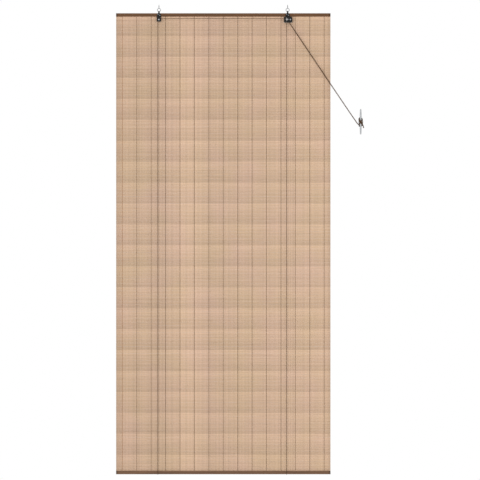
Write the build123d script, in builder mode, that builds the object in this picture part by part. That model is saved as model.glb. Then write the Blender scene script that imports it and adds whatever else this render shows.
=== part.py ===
"""Bamboo roller blind with lift cords, a cord lock and a wall cleat.

The frame is the one of the hung blind: +X to the right of someone who looks at it,
+Y to the wall behind it and +Z up. The origin lies midway between the two screw eyes,
on the ceiling that they are screwed into. All lengths are in millimetres.
"""

from math import asin, atan2, cos, degrees, hypot, radians, sin
import os

from build123d import *

os.makedirs("parts", exist_ok=True)

# The blind as a whole
BLIND_WIDTH = 1000.0
BLIND_DROP = 2150.0  # top of the top lath to the foot of the bottom lath
HEAD_DROP = 25.2  # ceiling to the top of the top lath
EYE_SPACING = 600.0
WALL_GAP = 4.5  # free depth between the back runs of the cords and the wall
CUT_OVERRUN = 1.0  # how far a cutting tool runs past the faces that it opens
SEAT = 0.3  # air between a cord and what it lies on

# Laths
LATH_HEIGHT = 15.0
FRONT_LATH_THICKNESS = 6.0
BACK_LATH_THICKNESS = 4.0
LATH_EDGE_RADIUS = 1.2
LATH_FIT = 0.1  # air between a lath and the mat that it clamps

# Slat mat
SLAT_PITCH = 8.14
SLATS_PER_BAND = 12
SLATS_PER_GAP = 2
MAT_THICKNESS = 1.6
GROOVE_WIDTH = 0.9
GROOVE_DEPTH = 0.45
GAP_HEIGHT = 0.8
SELVAGE = 6.0  # unbroken margin at the ends of the gaps
MAT_TUCK = 7.0  # how far the mat reaches in between the laths

# Warp threads
WARP_COUNT = 15
WARP_MARGIN = 28.9  # from the first line of thread to the mat's side
WARP_WIDTH = 1.6
WARP_THICKNESS = 0.6

# Staples
WIRE = 1.0  # square wire of the staples
STAPLE_COUNT = 5
STAPLE_MARGIN = 60.0  # from the first staple's middle to the end of the laths
STAPLE_WIDTH = 9.0
STAPLE_BITE = 3.5  # how deep the legs go into the front lath
STAPLE_EDGE = 4.0  # staples to the outer edge of the laths
LEG_FIT = 0.05

# Screw eyes
EYE_WIRE = 2.8
EYE_OUTER = 18.0
EYE_NECK = 1.0  # between the ring and the ceiling
EYE_NECK_WIDTH = 4.6
EYE_SHANK = 3.4
EYE_THREAD = 14.7  # length of thread above the ceiling
EYE_POINT = 4.0
EYE_TIP = 0.8

# Hanger and lock stampings
SHEET = 1.5
HOOK_WIDTH = 5.0
HOOK_BORE = 4.2
HOOK_TAIL = 3.0
NECK_WIDTH = 9.0
PLATE_WIDTH = 20.0
SHOULDER_DROP = 6.0  # from the top of the lath down to the full width of the plate
FOLD_RADIUS = 1.2
SIDE_PLAY = 0.25  # beside each sheave
HANGER_BLOCK_TOP = 44.0  # below the ceiling
HANGER_BLOCK_FOOT = 64.4
LOCK_BLOCK_TOP = 43.0
LOCK_BLOCK_FOOT = 69.5
LOCK_LEFT = 17.0  # from the eye's axis
LOCK_RIGHT = 22.0
BLOCK_CORNER = 3.0
LOCK_NOSE_CORNER = 7.0
LOCK_WEB_HEIGHT = 11.0
WINDOW_WIDTH = 5.4
WINDOW_HEIGHT = 18.0
WINDOW_SIDE = 5.6  # from the axle to the middle of the window

# Bracket screws
SCREW_SHANK = 2.2
SCREW_HEAD = 4.6
SCREW_HEAD_HEIGHT = 1.3
SCREW_BITE = 4.5
SCREW_SPREAD = 8.0
SCREW_STAGGER = 4.6
SCREW_FIT = 0.05

# Cord, sheaves and axles
CORD = 2.4
SHEAVE_PITCH_RADIUS = 5.0  # to the middle of the cord
SHEAVE_RIM_RADIUS = 6.2
SHEAVE_WIDTH = 4.4
SHEAVE_RIM = 0.4
GROOVE_FLOOR = 2.6
SHEAVE_DROP = 55.5
AXLE = 3.5
AXLE_PLAY = 0.05
RIVET_HEAD = 7.2
RIVET_HEAD_HEIGHT = 1.2
RIVET_CLENCH = 6.0
RIVET_CLENCH_HEIGHT = 0.8
CORD_LEAD = 3.0  # straight stretch before a sheave where the lift cord joins
CORD_JOIN = 0.15  # air between two stretches of cord on different bodies

# Lock cam and guide pin
CAM_DROP = 56.0
CAM_HUB_RADIUS = 4.0
CAM_TIP_RADIUS = 5.0
CAM_RISE = 1.3  # how much further the last tooth reaches than the first
CAM_TOOTH = 0.7
CAM_TEETH = 8
CAM_FIRST_ANGLE = 145.0
CAM_LAST_ANGLE = 205.0
CAM_TAIL_REACH = 3.5  # from the pivot to the middle of the tail that weighs the cam shut
CAM_TAIL_RADIUS = 3.5
GUIDE_PIN = 4.0
GUIDE_DROP = 65.5

# Lift cord ends
SLING_CORNER = 2.2
ANCHOR_DROP = 4.5  # from the top of the lath to the anchor staple
ANCHOR_WIDTH = 6.0
KNOT_RADIUS = 2.4
KNOT_HEIGHT = 4.6
KNOT_ROUND = 1.0

# Cleat
CLEAT_X = 640.0
CLEAT_DROP = 532.0
CLEAT_LENGTH = 118.0
CLEAT_WIDTH = 9.0
CLEAT_TIP_WIDTH = 6.4
HORN_DEPTH = 7.0
HORN_TIP_DEPTH = 4.4
HORN_SWEEP = 3.5  # how far the tips bend away from the wall
STEM_LENGTH = 32.0
STEM_WIDTH = 10.0
STEM_HEIGHT = 21.0
FOOT_LENGTH = 46.0
FOOT_WIDTH = 16.0
FOOT_HEIGHT = 4.0
CLEAT_ROUND = 1.6
CLEAT_SCREW_SPACING = 17.0
CLEAT_SCREW = 3.8
CLEAT_SCREW_SHANK = 3.4  # inside the cleat
CLEAT_SCREW_HEAD = 6.8
CLEAT_SCREW_THREAD = 18.0  # behind the wall's face
CLEAT_SCREW_POINT = 4.0
CLEAT_SCREW_TIP = 0.8
CLEAT_SCREW_SINK = 3.0
CLEAT_SCREW_HEAD_HEIGHT = 2.0
CLEAT_SCREW_FIT = 0.1

# Hitch of the pull cords on the cleat
HITCH_TURNS = 2
HITCH_PITCH = 2.5
SADDLE_LENGTH = 18.0
HITCH_ROUND = 2.0
TAIL_ROUTE = ((11.15, 13.0), (16.0, 8.0), (17.5, -6.0), (17.0, -22.0))
TAIL_RADII = (8.8, 90.0)
TAIL_KNOT_RADIUS = 3.2
TAIL_KNOT_HEIGHT = 6.0

# Depths, from the eyes' plane towards the wall
EYE_X = EYE_SPACING / 2
EYE_RADIUS = (EYE_OUTER - EYE_WIRE) / 2
PLATE_BACK_Y = -HOOK_BORE / 2
PLATE_FRONT_Y = PLATE_BACK_Y - SHEET
FRONT_LATH_Y = PLATE_BACK_Y
MAT_FRONT_Y = FRONT_LATH_Y + FRONT_LATH_THICKNESS + LATH_FIT
MAT_BACK_Y = MAT_FRONT_Y + MAT_THICKNESS
BACK_LATH_Y = MAT_BACK_Y + LATH_FIT
LATH_BACK_Y = BACK_LATH_Y + BACK_LATH_THICKNESS
SLING_FRONT_Y = FRONT_LATH_Y - SEAT - CORD / 2
SLING_BACK_Y = LATH_BACK_Y + SEAT + CORD / 2
WALL_Y = SLING_BACK_Y + CORD / 2 + WALL_GAP
REAR_CORD_Y = PLATE_FRONT_Y - SIDE_PLAY - SHEAVE_WIDTH / 2
FRONT_CORD_Y = REAR_CORD_Y - SIDE_PLAY - SHEAVE_WIDTH
HANGER_GAP = SHEAVE_WIDTH + 2 * SIDE_PLAY
LOCK_GAP = 2 * SHEAVE_WIDTH + 3 * SIDE_PLAY

# Heights, from the ceiling
TOP_LATH_TOP = -HEAD_DROP
TOP_LATH_FOOT = TOP_LATH_TOP - LATH_HEIGHT
BOTTOM_LATH_FOOT = TOP_LATH_TOP - BLIND_DROP
BOTTOM_LATH_TOP = BOTTOM_LATH_FOOT + LATH_HEIGHT
MAT_TOP = TOP_LATH_FOOT + MAT_TUCK
MAT_ROOM = MAT_TOP - (BOTTOM_LATH_TOP - MAT_TUCK)
SLAT_COUNT = int(MAT_ROOM / SLAT_PITCH)
MAT_FOOT = MAT_TOP - SLAT_COUNT * SLAT_PITCH
EYE_Z = -EYE_NECK - EYE_OUTER / 2
HOOK_Z = EYE_Z - EYE_RADIUS
SHEAVE_Z = -SHEAVE_DROP
CORD_TOP_Z = SHEAVE_Z + SHEAVE_PITCH_RADIUS
SLING_TOP_Z = (BOTTOM_LATH_TOP + BOTTOM_LATH_FOOT) / 2
SLING_FOOT_Z = BOTTOM_LATH_FOOT - SEAT - CORD / 2
CAM_Z = -CAM_DROP
GUIDE_Z = -GUIDE_DROP
CLEAT_Z = -CLEAT_DROP

# Places across the blind
WARP_PITCH = (BLIND_WIDTH - 2 * WARP_MARGIN) / (WARP_COUNT - 1)
STAPLE_PITCH = (BLIND_WIDTH - 2 * STAPLE_MARGIN) / (STAPLE_COUNT - 1)
LEFT_CORD_X = -EYE_X - SHEAVE_PITCH_RADIUS
RIGHT_CORD_X = EYE_X - SHEAVE_PITCH_RADIUS
LOCK_CORD_X = EYE_X + SHEAVE_PITCH_RADIUS
GUIDE_REACH = GUIDE_PIN / 2 + SIDE_PLAY + CORD / 2
GUIDE_X = LOCK_CORD_X + GUIDE_REACH
FRONT, BACK = 0, -1  # first and last of a group that is sorted by depth


def tooth_offset(index):
    """Tips and roots of the cam's teeth in turn, from its pivot."""
    way = index / (2 * CAM_TEETH)
    angle = radians(CAM_FIRST_ANGLE + way * (CAM_LAST_ANGLE - CAM_FIRST_ANGLE))
    reach = CAM_TIP_RADIUS + way * CAM_RISE
    radius = reach if index % 2 else reach - CAM_TOOTH
    return (radius * cos(angle), radius * sin(angle))


tooth_offsets = [tooth_offset(n) for n in range(2 * CAM_TEETH + 1)]
CAM_BITE = -min(x for x, z in tooth_offsets)
CAM_X = LOCK_CORD_X + CORD / 2 + SEAT + CAM_BITE


def facing(y):
    """The upright plane at depth y, seen from the front: its axes are X and Z."""
    return Plane.XZ.offset(-y)


def finish(builder, name):
    """Label a finished piece and write it to its own file."""
    builder.part.label = name
    export_step(builder.part, f"parts/{name}.step")


def tube(path, diameter):
    """A round cord along a path of runs and tangent arcs."""
    with BuildPart() as cord:
        with BuildSketch(Plane(origin=path @ 0, z_dir=path % 0)):
            Circle(diameter / 2)
        sweep(path=path)
    return cord.part


def lath(depth, thickness, foot, outer_face):
    """A wooden lath with the long edges of its FRONT or BACK face rounded."""
    with BuildPart() as strip:
        with BuildSketch(facing(depth + thickness)):
            with Locations((0, foot + LATH_HEIGHT / 2)):
                Rectangle(BLIND_WIDTH, LATH_HEIGHT)
        extrude(amount=thickness)
        long_edges = strip.edges().filter_by(Axis.X).group_by(Axis.Y)
        fillet(long_edges[outer_face], LATH_EDGE_RADIUS)
    return strip.part


def staple_row(height):
    """Middles of the staples along a rail, as points of the upright plane."""
    first = -STAPLE_PITCH * (STAPLE_COUNT - 1) / 2
    return [(first + n * STAPLE_PITCH, height) for n in range(STAPLE_COUNT)]


def staple_legs(middles, spread):
    """Middles of the legs of staples whose crowns are centred on the given points."""
    return [(x + side * spread / 2, z) for x, z in middles for side in (-1, 1)]


def staples(middles, spread, crown_back_y, leg_front_y):
    """Square-wire staples whose legs run forwards from a crown behind the laths."""
    with BuildPart() as row:
        with BuildSketch(facing(crown_back_y)):
            with Locations(*middles):
                Rectangle(spread + WIRE, WIRE)
        extrude(amount=WIRE)
        with BuildSketch(facing(crown_back_y)):
            with Locations(*staple_legs(middles, spread)):
                Rectangle(WIRE, WIRE)
        extrude(amount=crown_back_y - leg_front_y)
    return row


# Slat mat: ridges on both faces, with a gap after every second slat of a band
def groove_is_gap(number):
    return number % SLATS_PER_GAP == 0 and number % SLATS_PER_BAND != 0


def mat_profile():
    """Outline of the mat's section: down the front face, then up the back one."""
    grooves = [n for n in range(1, SLAT_COUNT) if not groove_is_gap(n)]
    front = [(MAT_FRONT_Y, MAT_TOP)]
    back = [(MAT_BACK_Y, MAT_TOP)]
    for number in grooves:
        middle = MAT_TOP - number * SLAT_PITCH
        for side in (1, 0, -1):
            height = middle + side * GROOVE_WIDTH / 2
            depth = 0 if side else GROOVE_DEPTH
            front.append((MAT_FRONT_Y + depth, height))
            back.append((MAT_BACK_Y - depth, height))
    front.append((MAT_FRONT_Y, MAT_FOOT))
    back.append((MAT_BACK_Y, MAT_FOOT))
    return front + back[::-1]


gap_numbers = [n for n in range(1, SLAT_COUNT) if groove_is_gap(n)]
gap_middles = [(0, MAT_TOP - n * SLAT_PITCH) for n in gap_numbers]

with BuildPart() as bamboo_mat:
    with BuildSketch(Plane.YZ):
        with BuildLine():
            Polyline(*mat_profile(), close=True)
        make_face()
    extrude(amount=BLIND_WIDTH / 2, both=True)
    with BuildSketch(facing(MAT_BACK_Y + CUT_OVERRUN)):
        with Locations(*gap_middles):
            Rectangle(BLIND_WIDTH - 2 * SELVAGE, GAP_HEIGHT)
    extrude(amount=MAT_THICKNESS + 2 * CUT_OVERRUN, mode=Mode.SUBTRACT)
finish(bamboo_mat, "bamboo_mat")

# Warp threads: one on each face of the mat, in lines from rail to rail
warp_length = TOP_LATH_FOOT - BOTTOM_LATH_TOP - 2 * SEAT
warp_middle = (TOP_LATH_FOOT + BOTTOM_LATH_TOP) / 2
first_warp = -WARP_PITCH * (WARP_COUNT - 1) / 2
warp_lines = [(first_warp + n * WARP_PITCH, warp_middle) for n in range(WARP_COUNT)]

with BuildPart() as warp_threads:
    for outer_y in (MAT_FRONT_Y, MAT_BACK_Y + WARP_THICKNESS):
        with BuildSketch(facing(outer_y)):
            with Locations(*warp_lines):
                Rectangle(WARP_WIDTH, warp_length)
        extrude(amount=WARP_THICKNESS)
finish(warp_threads, "warp_threads")

# Laths and their staples
screw_height = (TOP_LATH_TOP + TOP_LATH_FOOT) / 2
screw_offsets = [(side * SCREW_SPREAD / 2, -side * SCREW_STAGGER / 2) for side in (-1, 1)]
screw_places = [
    (eye + dx, screw_height + dz) for eye in (-EYE_X, EYE_X) for dx, dz in screw_offsets
]
top_staples_row = staple_row(TOP_LATH_TOP - STAPLE_EDGE)
bottom_staples_row = staple_row(BOTTOM_LATH_FOOT + STAPLE_EDGE)
anchor_row = [(x, TOP_LATH_TOP - ANCHOR_DROP) for x in (LEFT_CORD_X, RIGHT_CORD_X)]
leg_hole = WIRE + 2 * LEG_FIT
front_bite_y = BACK_LATH_Y - 2 * LATH_FIT - MAT_THICKNESS - STAPLE_BITE
anchor_bite_y = LATH_BACK_Y - STAPLE_BITE

with BuildPart() as top_front_lath:
    add(lath(FRONT_LATH_Y, FRONT_LATH_THICKNESS, TOP_LATH_FOOT, FRONT))
    with BuildSketch(facing(FRONT_LATH_Y + SCREW_BITE)):
        with Locations(*screw_places):
            Circle(SCREW_SHANK / 2 + SCREW_FIT)
    extrude(amount=SCREW_BITE + CUT_OVERRUN, mode=Mode.SUBTRACT)
    with BuildSketch(facing(MAT_FRONT_Y)):
        with Locations(*staple_legs(top_staples_row, STAPLE_WIDTH)):
            Rectangle(leg_hole, leg_hole)
    extrude(amount=MAT_FRONT_Y - front_bite_y + LEG_FIT, mode=Mode.SUBTRACT)
finish(top_front_lath, "top_front_lath")

with BuildPart() as top_back_lath:
    add(lath(BACK_LATH_Y, BACK_LATH_THICKNESS, TOP_LATH_FOOT, BACK))
    with BuildSketch(facing(LATH_BACK_Y + CUT_OVERRUN)):
        with Locations(*staple_legs(top_staples_row, STAPLE_WIDTH)):
            Rectangle(leg_hole, leg_hole)
    extrude(amount=BACK_LATH_THICKNESS + 2 * CUT_OVERRUN, mode=Mode.SUBTRACT)
    with BuildSketch(facing(LATH_BACK_Y + CUT_OVERRUN)):
        with Locations(*staple_legs(anchor_row, ANCHOR_WIDTH)):
            Rectangle(leg_hole, leg_hole)
    extrude(amount=STAPLE_BITE + CUT_OVERRUN + LEG_FIT, mode=Mode.SUBTRACT)
finish(top_back_lath, "top_back_lath")

with BuildPart() as bottom_front_lath:
    add(lath(FRONT_LATH_Y, FRONT_LATH_THICKNESS, BOTTOM_LATH_FOOT, FRONT))
    with BuildSketch(facing(MAT_FRONT_Y)):
        with Locations(*staple_legs(bottom_staples_row, STAPLE_WIDTH)):
            Rectangle(leg_hole, leg_hole)
    extrude(amount=MAT_FRONT_Y - front_bite_y + LEG_FIT, mode=Mode.SUBTRACT)
finish(bottom_front_lath, "bottom_front_lath")

with BuildPart() as bottom_back_lath:
    add(lath(BACK_LATH_Y, BACK_LATH_THICKNESS, BOTTOM_LATH_FOOT, BACK))
    with BuildSketch(facing(LATH_BACK_Y + CUT_OVERRUN)):
        with Locations(*staple_legs(bottom_staples_row, STAPLE_WIDTH)):
            Rectangle(leg_hole, leg_hole)
    extrude(amount=BACK_LATH_THICKNESS + 2 * CUT_OVERRUN, mode=Mode.SUBTRACT)
finish(bottom_back_lath, "bottom_back_lath")

crown_back_y = LATH_BACK_Y + WIRE
finish(staples(top_staples_row, STAPLE_WIDTH, crown_back_y, front_bite_y), "top_staples")
finish(
    staples(bottom_staples_row, STAPLE_WIDTH, crown_back_y, front_bite_y),
    "bottom_staples",
)
anchor_back_y = SLING_BACK_Y + CORD / 2 + SEAT + WIRE
finish(
    staples(anchor_row, ANCHOR_WIDTH, anchor_back_y, anchor_bite_y), "anchor_staples"
)

# Screw eyes
with BuildPart() as screw_eyes:
    with Locations(*[(x, 0, EYE_Z) for x in (-EYE_X, EYE_X)]):
        Torus(EYE_RADIUS, EYE_WIRE / 2, rotation=(90, 0, 0))
    for x in (-EYE_X, EYE_X):
        with BuildSketch(Plane.XZ) as shank:
            with BuildLine():
                Polyline(
                    (x, EYE_Z + EYE_RADIUS),
                    (x + EYE_NECK_WIDTH / 2, EYE_Z + EYE_RADIUS),
                    (x + EYE_SHANK / 2, 0),
                    (x + EYE_SHANK / 2, EYE_THREAD - EYE_POINT),
                    (x + EYE_TIP / 2, EYE_THREAD),
                    (x, EYE_THREAD),
                    close=True,
                )
            make_face()
        revolve(axis=Axis((x, 0, 0), (0, 0, 1)))
finish(screw_eyes, "screw_eyes")


# Stamped brackets
def hook_plate(eye_x, block_top):
    """The part that both brackets share: hook, neck and the plate on the lath."""
    shoulder = TOP_LATH_TOP - SHOULDER_DROP
    half_outline = (
        (HOOK_WIDTH / 2, HOOK_Z),
        (NECK_WIDTH / 2, TOP_LATH_TOP),
        (PLATE_WIDTH / 2, shoulder),
        (PLATE_WIDTH / 2, -block_top),
    )
    right_side = [(eye_x + x, z) for x, z in half_outline]
    left_side = [(eye_x - x, z) for x, z in half_outline]
    hook_outer = HOOK_BORE / 2 + SHEET
    with BuildPart() as plate:
        with BuildSketch(facing(PLATE_BACK_Y)):
            with BuildLine():
                Polyline(*right_side, *left_side[::-1], close=True)
            make_face()
        extrude(amount=SHEET)
        with BuildSketch(Plane.YZ.offset(eye_x)):
            with Locations((0, HOOK_Z)):
                Circle(hook_outer)
                Circle(HOOK_BORE / 2, mode=Mode.SUBTRACT)
                Rectangle(
                    2 * hook_outer,
                    hook_outer,
                    align=(Align.CENTER, Align.MAX),
                    mode=Mode.SUBTRACT,
                )
            with Locations((HOOK_BORE / 2, HOOK_Z)):
                Rectangle(SHEET, HOOK_TAIL, align=(Align.MIN, Align.MAX))
        extrude(amount=HOOK_WIDTH / 2, both=True)
        screw_holes = [(eye_x + dx, screw_height + dz) for dx, dz in screw_offsets]
        with BuildSketch(facing(PLATE_BACK_Y + CUT_OVERRUN)):
            with Locations(*screw_holes):
                Circle(SCREW_SHANK / 2 + SCREW_FIT)
        extrude(amount=SHEET + 2 * CUT_OVERRUN, mode=Mode.SUBTRACT)
    return plate.part


def rods(points, diameter, back_y, front_y):
    """Round rods from one depth to another, as pins or as drills."""
    with BuildPart() as group:
        with BuildSketch(facing(back_y)):
            with Locations(*points):
                Circle(diameter / 2)
        extrude(amount=back_y - front_y)
    return group.part


axle_hole = AXLE + 2 * AXLE_PLAY
hanger_cheek_y = PLATE_FRONT_Y - HANGER_GAP
hanger_front_y = hanger_cheek_y - SHEET
hanger_height = HANGER_BLOCK_FOOT - HANGER_BLOCK_TOP
hanger_middle = (-EYE_X, -(HANGER_BLOCK_FOOT + HANGER_BLOCK_TOP) / 2)

with BuildPart() as left_hanger:
    with BuildSketch(facing(PLATE_BACK_Y)):
        with Locations(hanger_middle):
            Rectangle(PLATE_WIDTH, hanger_height)
    extrude(amount=PLATE_BACK_Y - hanger_front_y)
    with BuildSketch(facing(PLATE_FRONT_Y)):
        with Locations((hanger_middle[0] + SHEET, hanger_middle[1])):
            Rectangle(PLATE_WIDTH, hanger_height + 2 * CUT_OVERRUN)
    extrude(amount=HANGER_GAP, mode=Mode.SUBTRACT)
    upright = left_hanger.edges().filter_by(Axis.Z)
    fillet(upright.group_by(Axis.X)[0], FOLD_RADIUS)
    across = left_hanger.edges().filter_by(Axis.Y)
    fillet(across.group_by(Axis.X)[-1].group_by(Axis.Z)[0], BLOCK_CORNER)
    add(hook_plate(-EYE_X, HANGER_BLOCK_TOP))
    axle_drill = rods(
        [(-EYE_X, SHEAVE_Z)],
        axle_hole,
        PLATE_BACK_Y + CUT_OVERRUN,
        hanger_front_y - CUT_OVERRUN,
    )
    add(axle_drill, mode=Mode.SUBTRACT)
finish(left_hanger, "left_hanger")

lock_cheek_y = PLATE_FRONT_Y - LOCK_GAP
lock_front_y = lock_cheek_y - SHEET
lock_pin_places = [(EYE_X, SHEAVE_Z), (CAM_X, CAM_Z), (GUIDE_X, GUIDE_Z)]


def lock_wall(front_of_y):
    """Outline of one wall of the lock, cut to its thickness in front of a depth."""
    left, right = EYE_X - LOCK_LEFT, EYE_X + LOCK_RIGHT
    with BuildPart() as wall:
        with BuildSketch(facing(front_of_y)) as outline:
            with BuildLine():
                Polyline(
                    (left, -LOCK_BLOCK_TOP),
                    (right, -LOCK_BLOCK_TOP),
                    (right, -LOCK_BLOCK_FOOT),
                    (left, -LOCK_BLOCK_FOOT),
                    close=True,
                )
            make_face()
            ends = outline.vertices().group_by(Axis.X)
            fillet(ends[-1], LOCK_NOSE_CORNER)
            fillet(ends[0], BLOCK_CORNER)
        extrude(amount=SHEET)
    return wall.part


with BuildPart() as lock_housing:
    add(lock_wall(PLATE_BACK_Y))
    add(lock_wall(lock_cheek_y))
    add(hook_plate(EYE_X, LOCK_BLOCK_TOP + BLOCK_CORNER))
    with BuildSketch(facing(PLATE_FRONT_Y)):
        with Locations((EYE_X + LOCK_RIGHT, -(LOCK_BLOCK_TOP + LOCK_BLOCK_FOOT) / 2)):
            Rectangle(SHEET, LOCK_WEB_HEIGHT, align=(Align.MAX, Align.CENTER))
    extrude(amount=LOCK_GAP)
    with BuildSketch(facing(lock_cheek_y + CUT_OVERRUN)):
        with Locations((EYE_X - WINDOW_SIDE, SHEAVE_Z)):
            SlotOverall(WINDOW_HEIGHT, WINDOW_WIDTH, rotation=90)
    extrude(amount=SHEET + 2 * CUT_OVERRUN, mode=Mode.SUBTRACT)
    pin_drills = rods(
        lock_pin_places,
        axle_hole,
        PLATE_BACK_Y + CUT_OVERRUN,
        lock_front_y - CUT_OVERRUN,
    )
    add(pin_drills, mode=Mode.SUBTRACT)
finish(lock_housing, "lock_housing")

# Bracket screws, with domed heads
with BuildPart() as bracket_screws:
    with BuildSketch(facing(FRONT_LATH_Y + SCREW_BITE)):
        with Locations(*screw_places):
            Circle(SCREW_SHANK / 2)
    extrude(amount=SCREW_BITE + SHEET)
    with BuildSketch(facing(PLATE_FRONT_Y)):
        with Locations(*screw_places):
            Circle(SCREW_HEAD / 2)
    extrude(amount=SCREW_HEAD_HEIGHT)
    front_rims = bracket_screws.edges().filter_by(GeomType.CIRCLE).group_by(Axis.Y)[0]
    chamfer(front_rims, SCREW_HEAD_HEIGHT / 2)
finish(bracket_screws, "bracket_screws")


# Sheaves and the pins that they and the cam turn on
def sheave(x, y):
    """A grooved wheel on an axis that runs from front to back."""
    half, lip = SHEAVE_WIDTH / 2, SHEAVE_WIDTH / 2 - SHEAVE_RIM
    bore = AXLE / 2 + AXLE_PLAY
    floor_radius = SHEAVE_PITCH_RADIUS - CORD / 2 - SIDE_PLAY
    outline = (
        (bore, -half),
        (SHEAVE_RIM_RADIUS, -half),
        (SHEAVE_RIM_RADIUS, -lip),
        (floor_radius, -GROOVE_FLOOR / 2),
        (floor_radius, GROOVE_FLOOR / 2),
        (SHEAVE_RIM_RADIUS, lip),
        (SHEAVE_RIM_RADIUS, half),
        (bore, half),
    )
    with BuildPart() as wheel:
        with BuildSketch(Plane.XY.offset(SHEAVE_Z)):
            with BuildLine():
                Polyline(*[(x + r, y + depth) for r, depth in outline], close=True)
            make_face()
        revolve(axis=Axis((x, y, SHEAVE_Z), (0, 1, 0)))
    return wheel


def rivet(x, z, cheek_front_y):
    """A rivet through both walls of a bracket, with a domed head in front."""
    with BuildPart() as pin:
        with BuildSketch(facing(PLATE_BACK_Y)):
            with Locations((x, z)):
                Circle(AXLE / 2)
        extrude(amount=PLATE_BACK_Y - cheek_front_y)
        with BuildSketch(facing(cheek_front_y)):
            with Locations((x, z)):
                Circle(RIVET_HEAD / 2)
        extrude(amount=RIVET_HEAD_HEIGHT)
        rims = pin.edges().filter_by(GeomType.CIRCLE).group_by(Axis.Y)[0]
        chamfer(rims, RIVET_HEAD_HEIGHT / 2)
        with BuildSketch(facing(PLATE_BACK_Y + RIVET_CLENCH_HEIGHT)):
            with Locations((x, z)):
                Circle(RIVET_CLENCH / 2)
        extrude(amount=RIVET_CLENCH_HEIGHT)
    return pin


finish(sheave(-EYE_X, REAR_CORD_Y), "left_sheave")
finish(sheave(EYE_X, REAR_CORD_Y), "lock_rear_sheave")
finish(sheave(EYE_X, FRONT_CORD_Y), "lock_front_sheave")
finish(rivet(-EYE_X, SHEAVE_Z, hanger_front_y), "left_axle")
finish(rivet(EYE_X, SHEAVE_Z, lock_front_y), "lock_axle")
finish(rivet(CAM_X, CAM_Z, lock_front_y), "cam_rivet")

with BuildPart() as guide_pin:
    with BuildSketch(facing(PLATE_BACK_Y)):
        with Locations((GUIDE_X, GUIDE_Z)):
            Circle(AXLE / 2)
    extrude(amount=PLATE_BACK_Y - lock_front_y)
    with BuildSketch(facing(PLATE_FRONT_Y)):
        with Locations((GUIDE_X, GUIDE_Z)):
            Circle(GUIDE_PIN / 2)
    extrude(amount=LOCK_GAP)
finish(guide_pin, "guide_pin")

# Lock cam: a hub with a row of teeth that reach further the lower they stand
with BuildPart() as lock_cam:
    with BuildSketch(facing(PLATE_FRONT_Y - SIDE_PLAY)):
        with Locations((CAM_X, CAM_Z)):
            Circle(CAM_HUB_RADIUS)
        with Locations((CAM_X + CAM_TAIL_REACH, CAM_Z)):
            Circle(CAM_TAIL_RADIUS)
        with BuildLine():
            Polyline(
                (CAM_X, CAM_Z),
                *[(CAM_X + x, CAM_Z + z) for x, z in tooth_offsets],
                close=True,
            )
        make_face()
        with Locations((CAM_X, CAM_Z)):
            Circle(axle_hole / 2, mode=Mode.SUBTRACT)
    extrude(amount=LOCK_GAP - 2 * SIDE_PLAY)
finish(lock_cam, "lock_cam")

# Lift cords: a front run and a back run each, and the slings under the bottom rail
run_foot_z = SLING_TOP_Z + CORD_JOIN
front_run_top_z = SHEAVE_Z - CORD_LEAD
anchor_knot_z = TOP_LATH_TOP - ANCHOR_DROP + WIRE


def lift_cord(x, sheave_y):
    """The two straight runs of a lift cord, in front of the mat and behind it."""
    with BuildLine() as front_run:
        Line((x, SLING_FRONT_Y, run_foot_z), (x, sheave_y, front_run_top_z))
    with BuildLine() as back_run:
        Line((x, SLING_BACK_Y, run_foot_z), (x, SLING_BACK_Y, anchor_knot_z))
    with BuildPart() as cord:
        add(tube(front_run.line, CORD))
        add(tube(back_run.line, CORD))
    return cord


finish(lift_cord(LEFT_CORD_X, REAR_CORD_Y), "left_lift_cord")
finish(lift_cord(RIGHT_CORD_X, FRONT_CORD_Y), "right_lift_cord")

with BuildPart() as cord_slings:
    for x in (LEFT_CORD_X, RIGHT_CORD_X):
        with BuildLine() as sling_path:
            FilletPolyline(
                (x, SLING_FRONT_Y, SLING_TOP_Z),
                (x, SLING_FRONT_Y, SLING_FOOT_Z),
                (x, SLING_BACK_Y, SLING_FOOT_Z),
                (x, SLING_BACK_Y, SLING_TOP_Z),
                radius=SLING_CORNER,
            )
        add(tube(sling_path.line, CORD))
finish(cord_slings, "cord_slings")

knot_places = [(x, LATH_BACK_Y + SEAT + KNOT_RADIUS) for x in (LEFT_CORD_X, RIGHT_CORD_X)]
with BuildPart() as anchor_knots:
    with BuildSketch(Plane.XY.offset(anchor_knot_z)):
        with Locations(*knot_places):
            Circle(KNOT_RADIUS)
    extrude(amount=KNOT_HEIGHT)
    fillet(anchor_knots.edges().filter_by(GeomType.CIRCLE).group_by(Axis.Z)[-1], KNOT_ROUND)
finish(anchor_knots, "anchor_knots")

# Cords over the sheaves and through the lock, to where they leave it for the cleat
turn_build = SEAT + HITCH_TURNS * HITCH_PITCH
hitch_reach = STEM_WIDTH / 2 + turn_build + SEAT + CORD / 2
hitch_bend = (CLEAT_X, CLEAT_Z - (STEM_LENGTH - STEM_WIDTH) / 2)
from_guide = (hitch_bend[0] - GUIDE_X, hitch_bend[1] - GUIDE_Z)
closing = asin((GUIDE_REACH - hitch_reach) / hypot(*from_guide))
exit_heading = degrees(atan2(from_guide[1], from_guide[0]) + closing)
exit_turn = exit_heading + 90
side_x, side_z = sin(radians(exit_heading)), -cos(radians(exit_heading))
exit_x, exit_z = GUIDE_X + GUIDE_REACH * side_x, GUIDE_Z + GUIDE_REACH * side_z
reach_x, reach_z = hitch_bend[0] + hitch_reach * side_x, hitch_bend[1] + hitch_reach * side_z

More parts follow.
